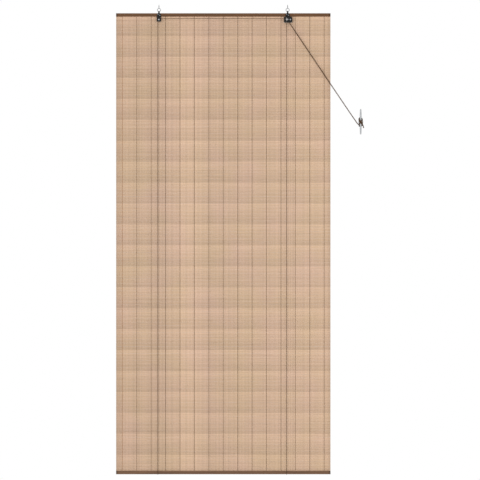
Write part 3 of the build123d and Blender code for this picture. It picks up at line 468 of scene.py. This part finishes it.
def screw_tree():
    """Slotted screws with domed heads, each turned its own way."""
    tree, start, ends = geometry_tree(
        "slotted_screws", ("Head", "Rise", "Shank", "Bite"), ("Seed",)
    )
    radius = times(tree, start["Head"], 0.5)
    feeds = {"Segments": 24, "Rings": 12, "Radius": 1.0}
    ball = result(tree, "GeometryNodeMeshUVSphere", feeds)
    dome = transformed(tree, ball, Scale=triple(tree, radius, start["Rise"], radius))
    width, span = (times(tree, start["Head"], share) for share in SCREW_SLOT_SHARES)
    size = triple(tree, width, start["Rise"], span)
    slot = result(tree, "GeometryNodeMeshCube", {"Size": size})
    lift = triple(tree, y=times(tree, start["Rise"], -SCREW_SLOT_LIFT))
    feeds = {"Mesh 1": dome, "Mesh 2": transformed(tree, slot, Translation=lift)}
    head = result(tree, "GeometryNodeMeshBoolean", feeds, operation="DIFFERENCE")
    shank_radius = times(tree, start["Shank"], 0.5)
    feeds = {"Vertices": 12, "Radius": shank_radius, "Depth": start["Bite"]}
    rod = node(tree, "GeometryNodeMeshCylinder", feeds).outputs["Mesh"]
    sunk = triple(tree, y=times(tree, start["Bite"], 0.5))
    shank = transformed(tree, rod, Translation=sunk, Rotation=(pi / 2, 0.0, 0.0))
    whole = node(tree, "GeometryNodeJoinGeometry")
    for part in (head, shank):
        tree.links.new(part, whole.inputs[0])
    bend = result(tree, "GeometryNodeInputMeshEdgeAngle")
    sharp = sums(tree, "GREATER_THAN", bend, CRISP_ANGLE)
    feeds = {"Geometry": whole.outputs[0], "Selection": sharp, "Shade Smooth": False}
    crisp = result(tree, "GeometryNodeSetShadeSmooth", feeds, domain="EDGE")
    feeds = {"Seed": start["Seed"], 0: (0.0, 0.0, 0.0), 1: (0.0, tau, 0.0)}
    turn = result(tree, "FunctionNodeRandomValue", feeds, data_type="FLOAT_VECTOR")
    copies = copied(tree, start["Geometry"], crisp, Rotation=turn)
    return finish_tree(tree, start, ends, copies)


def eye_thread_tree():
    """Thread ridges that wind up the shanks of the screw eyes."""
    tree, start, ends = geometry_tree("eye_threads", ("Radius", "Height", "Turns", "Ridge"))
    feeds = dict.fromkeys(("Start Radius", "End Radius"), start["Radius"])
    feeds.update(Resolution=18, Rotations=start["Turns"], Height=start["Height"])
    helix = result(tree, "GeometryNodeCurveSpiral", feeds)
    ridge = swept(tree, helix, start["Ridge"], 4)
    return finish_tree(tree, start, ends, copied(tree, start["Geometry"], ridge))


# Finishes


def fibre_grain():
    """Shader group: long streaks and fine fibres along X."""
    sockets = {"Vector": "Vector", "Along": "Float", "Across": "Float", "Shift": "Float"}
    tree, start, ends = new_tree(
        "fibre_grain", "ShaderNodeTree", sockets, {"Streaks": "Float", "Fibres": "Float"}
    )
    stretch = triple(tree, start["Along"], start["Across"], start["Across"])
    place = product(tree, start["Vector"], stretch)
    for name, finer, detail in (("Streaks", 1.0, 3.0), ("Fibres", 3.6, 2.0)):
        grain = noise(tree, place, finer, detail, start["Shift"], Roughness=0.6)
        tree.links.new(grain[0], ends[name])
    return tree


def handling_marks():
    """Shader group: soft smudges and small scuffs."""
    sockets = {"Vector": "Vector", "Size": "Float", "Amount": "Float"}
    tree, start, ends = new_tree(
        "handling_marks", "ShaderNodeTree", sockets, {"Mask": "Float", "Height": "Float"}
    )
    broad = noise(tree, start["Vector"], start["Size"], 5.0, Roughness=0.65)[0]
    fine = noise(tree, start["Vector"], times(tree, start["Size"], 7.0), 2.0)[0]
    scuffs = remap(tree, broad, 0.48, 0.72, 0.0, 1.0)
    tree.links.new(times(tree, scuffs, start["Amount"]), ends["Mask"])
    tree.links.new(fine, ends["Height"])
    return tree


def new_finish(name, roughness, metallic=0.0, specular=0.5):
    """A new material, its tree and shader, and the place on the piece."""
    material = bpy.data.materials.new(name)
    material.use_nodes = True
    tree = material.node_tree
    shader = tree.nodes["Principled BSDF"]
    shader.inputs["Roughness"].default_value = roughness
    shader.inputs["Metallic"].default_value = metallic
    shader.inputs["Specular IOR Level"].default_value = specular
    place = node(tree, "ShaderNodeTexCoord").outputs["Object"]
    return material, tree, shader, place


def grouped(tree, make, **feeds):
    """The one copy of a shader group, placed in a material with its own values."""
    group = bpy.data.node_groups.get(make.__name__) or make()
    return node(tree, "ShaderNodeGroup", feeds, node_tree=group).outputs


def tinted(tree, shader, tint, factor):
    """Feed a colour that is lightened or darkened by a factor to the shader."""
    feeds = {0: tint, "Scale": factor}
    scaled = result(tree, "ShaderNodeVectorMath", feeds, operation="SCALE")
    tree.links.new(scaled, shader.inputs["Base Color"])


def bumped(tree, shader, height, strength, distance):
    """Feed a height to the shader as a bump."""
    feeds = {"Height": height, "Strength": strength, "Distance": distance}
    tree.links.new(result(tree, "ShaderNodeBump", feeds), shader.inputs["Normal"])


def roughened(tree, shader, value, *ranges):
    """Feed a value to the shader's roughness, moved from one range to another."""
    tree.links.new(remap(tree, value, *ranges), shader.inputs["Roughness"])


def bamboo_finish(name, tint):
    """Split cane: bands of slats from one cane, joints, streaks, broad changes of tone, and painted
    light under the top lath.
    """
    material, tree, shader, place = new_finish(name, 0.55, specular=0.25)
    band = node(tree, "ShaderNodeAttribute", attribute_name="slat_band").outputs["Fac"]
    seed = node(tree, "ShaderNodeAttribute", attribute_name="slat_seed").outputs["Fac"]
    shift = times(tree, seed, 41.0)
    grain = grouped(tree, fibre_grain, Vector=place, Along=7.0, Across=520.0, Shift=shift)
    x, _, z = axes(tree, place)
    feeds = {"Factor": 1.0, "Value": sums(tree, "ADD", x, 0.5)}
    columns = node(tree, "ShaderNodeFloatCurve", feeds)
    curve = columns.mapping.curves[0]
    for at, tone in COLUMN_TONES[1:-1]:
        curve.points.new(at, tone)
    for end in (0, -1):
        curve.points[end].location = COLUMN_TONES[end]
    columns.mapping.update()
    upright = product(tree, place, triple(tree, 90.0, 0.0, 0.05))
    drift = noise(tree, upright, 1.0, 2.0)[0]
    along = sums(tree, "MULTIPLY_ADD", seed, JOINT_STAGGER, x)
    joint_at = sums(tree, "PINGPONG", along, JOINT_HALF_PITCH)
    joint = remap(tree, joint_at, *JOINT_REACH, 1.0, 0.0)
    tone = 1.0
    for value, middle, weight in (
        (band, 0.5, -0.175),
        (seed, 0.5, 0.05),
        (columns.outputs[0], 0.5, 0.16),
        (drift, 0.5, 0.50),
        (grain["Streaks"], 0.5, 0.42),
        (grain["Fibres"], 0.5, 0.38),
        (joint, 0.0, -0.13),
        # Painted light: the strip just under the top lath is lightened to lift the lath's shadow
        (remap(tree, z, *PAINTED_LIGHT_UNDER_LATH_Z, 0.0, 1.0), 0.0, 0.30),
    ):
        part = times(tree, sums(tree, "SUBTRACT", value, middle), weight)
        tone = sums(tree, "ADD", part, tone)
    broad = noise(tree, place, 6.0, 1.0)[0]
    redder = remap(tree, broad, 0.3, 0.7, 0.985, 1.015)
    bluer = remap(tree, broad, 0.3, 0.7, 0.955, 1.045)
    warm = triple(tree, redder, 1.0, bluer)
    tinted(tree, shader, product(tree, tint, warm), tone)
    roughened(tree, shader, grain["Fibres"], 0.3, 0.7, 0.48, 0.66)
    bumped(tree, shader, grain["Fibres"], 0.35, 0.0003)
    return material


def stained_finish(name, tint):
    """Stained lath: open grain that took the stain unevenly, and most of it at the cut ends."""
    material, tree, shader, place = new_finish(name, 0.45, specular=0.2)
    grain = grouped(tree, fibre_grain, Vector=place, Along=5.0, Across=230.0, Shift=3.0)
    marks = grouped(tree, handling_marks, Vector=place, Size=30.0, Amount=0.25)
    streak = remap(tree, grain["Streaks"], 0.25, 0.75, 0.62, 1.38)
    fibre = remap(tree, grain["Fibres"], 0.3, 0.7, 0.85, 1.15)
    tone = sums(tree, "MULTIPLY_ADD", marks["Mask"], 0.5, times(tree, streak, fibre))
    reach = sums(tree, "ABSOLUTE", axes(tree, place)[0])
    ends = remap(tree, reach, *LATH_END_X, 1.0, 0.5)
    tinted(tree, shader, tint, times(tree, tone, ends))
    roughened(tree, shader, grain["Streaks"], 0.3, 0.7, 0.36, 0.56)
    bumped(tree, shader, grain["Fibres"], 0.4, 0.0003)
    return material


def yarn_finish(name, tint, size, selvedge=1.0):
    """Spun fibres for threads and cords; selvedge lightens the line at the left edge."""
    material, tree, shader, place = new_finish(name, 0.88, specular=0.2)
    shader.inputs["Sheen Weight"].default_value = 0.08
    marks = grouped(tree, handling_marks, Vector=place, Size=size, Amount=1.0)
    tone = remap(tree, marks["Mask"], 0.0, 1.0, 0.86, 1.18)
    fuzz = remap(tree, marks["Height"], 0.3, 0.7, 0.82, 1.18)
    spun = times(tree, tone, fuzz)
    if selvedge != 1.0:
        x = axes(tree, place)[0]
        spun = times(tree, spun, remap(tree, x, *SELVEDGE_X, selvedge, 1.0))
    tinted(tree, shader, tint, spun)
    bumped(tree, shader, marks["Height"], 0.5, 0.0002)
    return material


def metal_finish(name, tint, roughness, metallic, scuff):
    """Plated, cast or moulded fittings with handling marks."""
    material, tree, shader, place = new_finish(name, roughness, metallic)
    marks = grouped(tree, handling_marks, Vector=place, Size=SCUFF_SIZE, Amount=1.0)
    tinted(tree, shader, tint, remap(tree, marks["Mask"], 0.0, 1.0, 1.0, 1.0 + scuff))
    roughened(tree, shader, marks["Mask"], 0.0, 1.0, roughness, min(1.0, roughness + 0.22))
    bumped(tree, shader, marks["Height"], 0.12, 0.0002)
    return material


def lacquer_finish(name, tint):
    """Black lacquer on stamped steel that is left bare inside the two blocks."""
    material, tree, shader, place = new_finish(name, 0.42, specular=0.15)
    marks = grouped(tree, handling_marks, Vector=place, Size=SCUFF_SIZE, Amount=1.6)
    _, y, z = axes(tree, place)
    on_plate = sums(tree, "COMPARE", y, PLATE_Y * MM, 0.0002)
    bare = times(tree, on_plate, sums(tree, "LESS_THAN", z, BARE_TOP_Z * MM))
    tone = sums(tree, "MULTIPLY_ADD", bare, 60.0, sums(tree, "ADD", marks["Mask"], 1.0))
    tinted(tree, shader, tint, tone)
    tree.links.new(bare, shader.inputs["Metallic"])
    roughened(tree, shader, marks["Mask"], 0.0, 1.6, 0.40, 0.62)
    bumped(tree, shader, marks["Height"], 0.12, 0.0002)
    return material


def finish_for(slot):
    """The finish of one of the blind's materials, made when it is first asked for."""
    if slot in bpy.data.materials:
        return bpy.data.materials[slot]
    tints = bpy.context.scene.blind_colours
    make, *values = {
        "split_bamboo": (bamboo_finish, tints.bamboo),
        "stained_top": (stained_finish, tints.top_stain),
        "stained_foot": (stained_finish, tints.foot_stain),
        "black_lacquer": (lacquer_finish, tints.lacquer),
        # Size of the fibres, and how much paler the left-hand line is
        "cotton_thread": (yarn_finish, tints.thread, 260.0, 3.0),
        "laid_cord": (yarn_finish, tints.cord, 320.0),
        # Roughness, metal and change of tone by scuffs
        "bright_zinc": (metal_finish, tints.zinc, 0.28, 1.0, -0.12),
        "moulded_sheave": (metal_finish, tints.sheave, 0.5, 0.0, 0.15),
        "cast_cleat": (metal_finish, tints.cleat, 0.36, 1.0, -0.14),
    }[slot]
    return make(slot, *values)


def paint(finish, *nodes):
    """Give carried-over pieces of the frame their finish."""
    for name in nodes:
        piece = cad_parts[name]
        if not piece.material_slots:
            piece.data.materials.append(None)
        for place in piece.material_slots:
            place.material = finish_for(finish)


# Cords


def nurbs_line(route):
    """Points along the smooth line that a cord's route gives, in metres."""
    curve = bpy.data.curves.new("route", "CURVE")
    curve.dimensions = "3D"
    curve.resolution_u = 16
    spline = curve.splines.new("NURBS")
    spline.points.add(len(route) - 1)
    for point, place in zip(spline.points, route):
        point.co = (*(value * MM for value in place), 1.0)
    spline.order_u = 3
    spline.use_endpoint_u = True
    carrier = new_object("route", curve)
    depsgraph = bpy.context.evaluated_depsgraph_get()
    mesh = bpy.data.meshes.new_from_object(carrier.evaluated_get(depsgraph))
    line = [vertex.co.copy() for vertex in mesh.vertices]
    bpy.data.objects.remove(carrier)
    bpy.data.curves.remove(curve)
    bpy.data.meshes.remove(mesh)
    return line


def evenly(line, step):
    """The same line with its points an even step apart."""
    ends = [Vector(point) for point in line]
    lengths = [0.0]
    for one, two in zip(ends, ends[1:]):
        lengths.append(lengths[-1] + (two - one).length)
    spans = max(3, round(lengths[-1] / step))
    even, at = [], 0
    for number in range(spans + 1):
        goal = lengths[-1] * number / spans
        while at < len(ends) - 2 and lengths[at + 1] < goal:
            at += 1
        span = max(lengths[at + 1] - lengths[at], 1e-9)
        even.append(ends[at].lerp(ends[at + 1], (goal - lengths[at]) / span))
    return even


def laid_tube(line, radius, lay, step, sides=12, strands=3):
    """Vertices and faces of a cord whose strands go round as it runs along a line."""
    points = evenly(line, step)
    first = points[1] - points[0]
    real_step = first.length
    normal = first.normalized().orthogonal().normalized()
    vertices, faces = [], []
    for number, point in enumerate(points):
        ahead, behind = points[min(number + 1, len(points) - 1)], points[max(number - 1, 0)]
        heading = (ahead - behind).normalized()
        normal = (normal - heading * normal.dot(heading)).normalized()
        side = heading.cross(normal)
        twist = tau * number * real_step / lay
        for corner in range(sides):
            angle = tau * corner / sides
            swell = STRAND_SWELL_SHARE * cos(strands * (angle - twist / strands))
            reach = radius * (1.0 - STRAND_SWELL_SHARE + swell)
            vertices.append(point + (normal * cos(angle) + side * sin(angle)) * reach)
    for ring in range(len(points) - 1):
        low, high = ring * sides, (ring + 1) * sides
        for corner in range(sides):
            after = (corner + 1) % sides
            faces.append((low + corner, low + after, high + after, high + corner))
    faces.append(tuple(reversed(range(sides))))
    faces.append(tuple(range(len(vertices) - sides, len(vertices))))
    return vertices, faces


def cord_piece(name, lines, step=None, radius=None):
    """One piece made of laid cord along one or more lines."""
    sizes = bpy.context.scene.blind_sizes
    vertices, faces = [], []
    for line in lines:
        some, more = laid_tube(
            line, radius or sizes.cord_diameter / 2, sizes.cord_lay, step or sizes.ring_step
        )
        faces += [tuple(len(vertices) + corner for corner in face) for face in more]
        vertices += some
    mesh = bpy.data.meshes.new(name)
    mesh.from_pydata([tuple(place) for place in vertices], [], faces)
    mesh.polygons.foreach_set("use_smooth", [len(face) == 4 for face in faces])
    mesh.materials.append(finish_for("laid_cord"))
    mesh.update()
    return new_object(name, mesh)


def settle(piece, body, slot, *nodes):
    """Say what a finished piece rides on and stands for; the slot that it is given is not used."""
    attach(piece, body)
    if nodes:
        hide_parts(*nodes)


def gather(piece):
    """Give a hanging piece a mesh of its own."""
    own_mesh(piece)


def knot_line(middle, width, height):
    """An overhand knot's line, drawn up tight round its middle."""
    line = []
    for number in range(KNOT_POINTS + 1):
        turn = tau * KNOT_OPEN_SHARE * number / KNOT_POINTS
        reach = width / 2 * (2.0 + cos(3 * turn)) / 3.0
        offset = (reach * cos(2 * turn), reach * sin(2 * turn), height / 2 * sin(3 * turn))
        line.append(Vector([at + by for at, by in zip(middle, offset)]) * MM)
    return line


def knot_piece(name, middles, width, height, radius):
    """Knots of one size, each round its own middle."""
    lines = [knot_line(middle, width - 2 * radius, height - 2 * radius) for middle in middles]
    return cord_piece(name, lines, KNOT_STEP, radius * MM)


def on_cleat(place):
    """A place that is given from the middle of the cleat's bar."""
    x, y, z = place
    return (CLEAT[0] + x, y, CLEAT[1] + z)


# Operators


class BLIND_OT_slats(bpy.types.Operator):
    """Weave the bamboo slats into a mat"""

    bl_idname = "blind.slats"
    bl_label = "Slats"

    def execute(self, context):
        sizes = context.scene.blind_sizes
        low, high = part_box("bamboo_mat")
        values = {
            "Length": float(high[0] - low[0]),
            "Pitch": sizes.slat_pitch,
            "Count": round((high[2] - low[2]) / sizes.slat_pitch),
            "Height": sizes.slat_height,
            "Thickness": sizes.slat_thickness,
            "Pair Shift": sizes.pair_shift,
            "Band": sizes.band_slats,
            "Wave": sizes.slat_wave,
            "Top": float(high[2]),
            "Depth": float(low[1] + high[1]) / 2,
            "Seed": SLAT_SEED,
            "Material": finish_for("split_bamboo"),
        }
        slats = grown("bamboo_slats", slat_tree(), values)
        settle(slats, "head", "bamboo", "bamboo_mat")
        gather(slats)
        return {"FINISHED"}


class BLIND_OT_threads(bpy.types.Operator):
    """Twist the warp threads round the slats"""

    bl_idname = "blind.threads"
    bl_label = "Warp threads"

    def execute(self, context):
        sizes = context.scene.blind_sizes
        low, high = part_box("warp_threads")
        mat_low, mat_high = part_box("bamboo_mat")
        step = sizes.slat_pitch / STEPS_PER_SLAT
        lead = int((mat_high[2] - high[2]) / step)
        top = mat_high[2] - (lead + 0.5) * step
        steps = 1 + int((top - low[2]) / step)
        tree = thread_tree()
        for phase, name in enumerate(("warp_threads_odd", "warp_threads_even")):
            values = {
                "Lines": sizes.thread_lines,
                "Line Pitch": sizes.thread_pitch,
                "First": -sizes.thread_pitch * (sizes.thread_lines - 1) / 2,
                "Top": float(top),
                "Depth": float(mat_low[1] + mat_high[1]) / 2,
                "Reach": sizes.slat_thickness / 2 + sizes.thread_radius * THREAD_REACH_SHARE,
                "Step": step,
                "Steps": steps,
                "Lead": lead,
                "Phase": phase,
                "Radius": sizes.thread_radius,
                "Material": finish_for("cotton_thread"),
            }
            threads = grown(name, tree, values)
            settle(threads, "head", "thread", "warp_threads")
            gather(threads)
        return {"FINISHED"}


class BLIND_OT_laths(bpy.types.Operator):
    """Stain the laths and finish their staples"""

    bl_idname = "blind.laths"
    bl_label = "Laths"

    def execute(self, context):
        paint("stained_top", "top_front_lath", "top_back_lath")
        paint("stained_foot", "bottom_front_lath", "bottom_back_lath")
        paint("bright_zinc", "top_staples", "bottom_staples", "anchor_staples")
        return {"FINISHED"}


class BLIND_OT_fittings(bpy.types.Operator):
    """Finish the eyes, brackets, sheaves and pins, and put in the bracket screws"""

    bl_idname = "blind.fittings"
    bl_label = "Fittings"

    def execute(self, context):
        sizes = context.scene.blind_sizes
        paint("black_lacquer", "left_hanger", "lock_housing", "guide_pin")
        paint("moulded_sheave", "left_sheave", "lock_rear_sheave", "lock_front_sheave")
        paint("bright_zinc", "screw_eyes", "left_axle", "lock_axle", "cam_rivet", "lock_cam")
        low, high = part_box("bracket_screws")
        plate_y = low[1] + sizes.screw_rise
        rise = (high[2] - low[2] - sizes.screw_head) / 2
        middle_z = (high[2] + low[2]) / 2
        spread = high[0] - sizes.screw_head / 2 - EYE_X * MM
        heads = [
            (eye * EYE_X * MM + side * spread, plate_y, middle_z - side * rise)
            for eye in (-1, 1)
            for side in (-1, 1)
        ]
        values = {
            "Head": sizes.screw_head,
            "Rise": sizes.screw_rise,
            "Shank": sizes.screw_shank,
            "Bite": float(high[1] - plate_y),
            "Seed": SCREW_SEED,
            "Material": finish_for("bright_zinc"),
        }
        screws = grown("bracket_screw_heads", screw_tree(), values, heads)
        settle(screws, "head", "zinc", "bracket_screws")
        values = {
            "Radius": sizes.eye_thread_radius,
            "Height": sizes.eye_thread_height,
            "Turns": float(sizes.eye_turns),
            "Ridge": sizes.eye_ridge,
            "Material": finish_for("bright_zinc"),
        }
        feet = [(side * EYE_X * MM, 0.0, sizes.eye_thread_foot) for side in (-1, 1)]
        ridges = grown("eye_threads", eye_thread_tree(), values, feet)
        settle(ridges, "head", "zinc")
        return {"FINISHED"}


class BLIND_OT_lift_cords(bpy.types.Operator):
    """Lay the lift cords: their runs, the slings under the rail and the stretch over the sheaves"""

    bl_idname = "blind.lift_cords"
    bl_label = "Lift cords"

    def execute(self, context):
        left, right = -EYE_X - SHEAVE_RADIUS, EYE_X - SHEAVE_RADIUS
        for name, x, y in (("left_lift", left, REAR_Y), ("right_lift", right, FRONT_Y)):
            middle = ((SLING_FRONT_Y + y) / 2, (RUN_FOOT_Z + RUN_TOP_Z) / 2)
            before = ((x, y, RUN_TOP_Z), (x, *middle), (x, SLING_FRONT_Y, RUN_FOOT_Z))
            front = cord_piece(name + "_front_run", [nurbs_line(before)])
            settle(front, "head", "cord", name + "_cord")
            gather(front)
            behind = [(x, SLING_BACK_Y, z) for z in (LATH_FOOT_Z, RUN_FOOT_Z / 2, RUN_FOOT_Z)]
            back = cord_piece(name + "_back_run", [nurbs_line(behind)])
            settle(back, "head", "cord", name + "_cord")
            gather(back)
        heights = (BACK_RUN_TOP_Z, BACK_RUN_MIDDLE_Z, LATH_FOOT_Z)
        ends = [nurbs_line([(x, SLING_BACK_Y, z) for z in heights]) for x in (left, right)]
        settle(cord_piece("anchor_cord_ends", ends), "head", "cord")
        heights = (SLING_TOP_Z, SLING_MIDDLE_Z, SLING_FOOT_Z)
        round_rail = (
            *((SLING_FRONT_Y, z) for z in heights),
            ((SLING_FRONT_Y + SLING_BACK_Y) / 2, SLING_FOOT_Z),
            *((SLING_BACK_Y, z) for z in reversed(heights)),
        )
        slings = [nurbs_line([(x, *place) for place in round_rail]) for x in (left, right)]
        settle(cord_piece("cord_slings_laid", slings), "bottom_rail", "cord", "cord_slings")
        bend = SHEAVE_RADIUS * OCTAGON_SHARE
        top = SHEAVE_Z + SHEAVE_RADIUS
        through_lock = (
            (EYE_X + bend, top), (EYE_X + SHEAVE_RADIUS, SHEAVE_Z + bend),
            (LOCK_MOUTH[0], LOCK_FALL_Z), LOCK_MOUTH, EXIT,
        )
        for name, eye, y in (
            ("cross_cord", -EYE_X, REAR_Y),
            ("right_over_cord", EYE_X, FRONT_Y),
        ):
            over = (
                (eye - SHEAVE_RADIUS, RUN_TOP_Z), (eye - SHEAVE_RADIUS, SHEAVE_Z + bend),
                (eye - bend, top), *through_lock,
            )
            line = nurbs_line([(x, y, z) for x, z in over])
            settle(cord_piece(name + "_laid", [line], FINE_STEP), "head", "cord", name)
        middles = [(x, *ANCHOR_KNOT_PLACE) for x in (left, right)]
        knots = knot_piece("anchor_knots_tied", middles, *ANCHOR_KNOT)
        settle(knots, "head", "cord", "anchor_knots")
        return {"FINISHED"}


class BLIND_OT_pull_cords(bpy.types.Operator):
    """Run the pull cords from the lock to the cleat and hitch them there"""

    bl_idname = "blind.pull_cords"
    bl_label = "Pull cords"

    def execute(self, context):
        sizes = context.scene.blind_sizes
        knot = knot_piece("tail_knot_tied", [on_cleat(TAIL_KNOT_PLACE)], *TAIL_KNOT)
        settle(knot, "head", "cord", "tail_knot")
        for side, y, aside, turns, stands_for, ends in (
            ("right", FRONT_Y, CORDS_ASIDE, RIGHT_TURNS, "cleat_hitch", [knot]),
            ("left", REAR_Y, -CORDS_ASIDE, LEFT_TURNS, "cord_tails", []),
        ):
            lead = (
                EXIT[0] + EXIT_HEADING[0] * STRAIGHT_LEAD - EXIT_HEADING[1] * aside,
                y + (turns[0][1] - y) * STRAIGHT_LEAD / PULL_RUN,
                EXIT[1] + EXIT_HEADING[1] * STRAIGHT_LEAD + EXIT_HEADING[0] * aside,
            )
            route = [(EXIT[0], y, EXIT[1]), lead, *map(on_cleat, turns)]
            line = evenly(nurbs_line(route), sizes.ring_step / 2)
            cord = cord_piece(side + "_pull_cord_laid", [line], FINE_STEP)
            settle(cord, "head", "cord", side + "_pull_cord", stands_for)
        return {"FINISHED"}


class BLIND_OT_cleat(bpy.types.Operator):
    """Finish the wall cleat and its screws"""

    bl_idname = "blind.cleat"
    bl_label = "Cleat"

    def execute(self, context):
        paint("cast_cleat", "cleat")
        paint("bright_zinc", "cleat_screws")
        return {"FINISHED"}


class BLIND_OT_stage(bpy.types.Operator):
    """Set up the floor, the lights and the camera"""

    bl_idname = "blind.stage"
    bl_label = "Studio"

    def execute(self, context):
        scene = context.scene
        scene.view_settings.view_transform = "Standard"
        self.add_floor(scene)
        self.add_world(scene)
        for name, place, size, power in (
            ("key_light", (-1.6, -4.6, -0.75), 2.4, 50.0),
            ("fill_light", (2.5, -4.2, -1.15), 2.4, 25.0),
        ):
            lamp = bpy.data.lights.new(name, "AREA")
            lamp.shape = "SQUARE"
            lamp.size = size
            lamp.energy = power
            holder = new_object(name, lamp)
            holder.location = place
            aim = Vector(LIGHTS_AIM) - Vector(place)
            holder.rotation_euler = aim.to_track_quat("-Z", "Y").to_euler()
        camera = bpy.data.cameras.new("photo_camera")
        camera.lens = LENS
        camera.sensor_width = SENSOR
        camera.clip_end = 60.0
        holder = new_object("photo_camera", camera)
        x, y, z = VIEW_MIDDLE
        holder.location = (x, y - VIEW_WIDTH * LENS / SENSOR, z)
        holder.rotation_euler = (pi / 2, 0.0, 0.0)
        scene.camera = holder
        return {"FINISHED"}

    def add_floor(self, scene):
        """A pale floor that takes the blind's shadow"""
        material, tree, shader, place = new_finish("pale_floor", 0.9)
        marks = grouped(tree, handling_marks, Vector=place, Size=2.0, Amount=1.0)
        shade = remap(tree, marks["Mask"], 0.0, 1.0, 1.0, 1.01)
        tinted(tree, shader, scene.blind_colours.floor, shade)
        mesh = bpy.data.meshes.new("floor")
        (left, front), (right, back) = FLOOR_LOW, FLOOR_HIGH
        corners = ((left, front), (right, front), (right, back), (left, back))
        mesh.from_pydata([(x, y, FLOOR_LEVEL) for x, y in corners], [], [(0, 1, 2, 3)])
        mesh.materials.append(material)
        floor = new_object("floor", mesh)

    def add_world(self, scene):
        """Even light all round, and a white background where it is seen"""
        world = bpy.data.worlds.new("white_studio")
        world.use_nodes = True
        scene.world = world
        tree = world.node_tree
        tree.nodes.clear()
        path = node(tree, "ShaderNodeLightPath").outputs
        seen = sums(tree, "MAXIMUM", path["Is Camera Ray"], path["Is Glossy Ray"])
        seen = sums(tree, "MAXIMUM", seen, path["Is Transmission Ray"])
        white = (1.0, 1.0, 1.0, 1.0)
        ambient, backdrop = (
            result(tree, "ShaderNodeBackground", {"Color": white, "Strength": strength})
            for strength in (AMBIENT, 1.0)
        )
        both = result(tree, "ShaderNodeMixShader", {0: seen, 1: ambient, 2: backdrop})
        node(tree, "ShaderNodeOutputWorld", {"Surface": both})


class BLIND_PT_pieces(bpy.types.Panel):
    """Sizes, colours and pieces of the blind"""

    bl_idname = "BLIND_PT_pieces"
    bl_label = "Bamboo Roller Blind"
    bl_space_type = "VIEW_3D"
    bl_region_type = "UI"
    bl_category = "Blind"

    def draw(self, context):
        for group in (context.scene.blind_sizes, context.scene.blind_colours):
            column = self.layout.column(align=True)
            for name in group.__annotations__:
                column.prop(group, name)
        for step in STEPS:
            self.layout.operator(step.bl_idname)


STEPS = (
    BLIND_OT_stage,
    BLIND_OT_pull_cords,
    BLIND_OT_lift_cords,
    BLIND_OT_slats,
    BLIND_OT_threads,
    BLIND_OT_laths,
    BLIND_OT_fittings,
    BLIND_OT_cleat,
)
CLASSES = (BlindSizes, BlindColours, *STEPS, BLIND_PT_pieces)


def register():
    """Make the classes and the scene's settings known."""
    for item in CLASSES:
        bpy.utils.register_class(item)
    bpy.types.Scene.blind_sizes = PointerProperty(type=BlindSizes)
    bpy.types.Scene.blind_colours = PointerProperty(type=BlindColours)


def unregister():
    """Take them out again."""
    del bpy.types.Scene.blind_colours
    del bpy.types.Scene.blind_sizes
    for item in reversed(CLASSES):
        bpy.utils.unregister_class(item)


def main():
    """Build the blind in order."""
    register()
    for step in STEPS:
        getattr(bpy.ops.blind, step.bl_idname.partition(".")[2])()


if __name__ == "__main__":
    main()
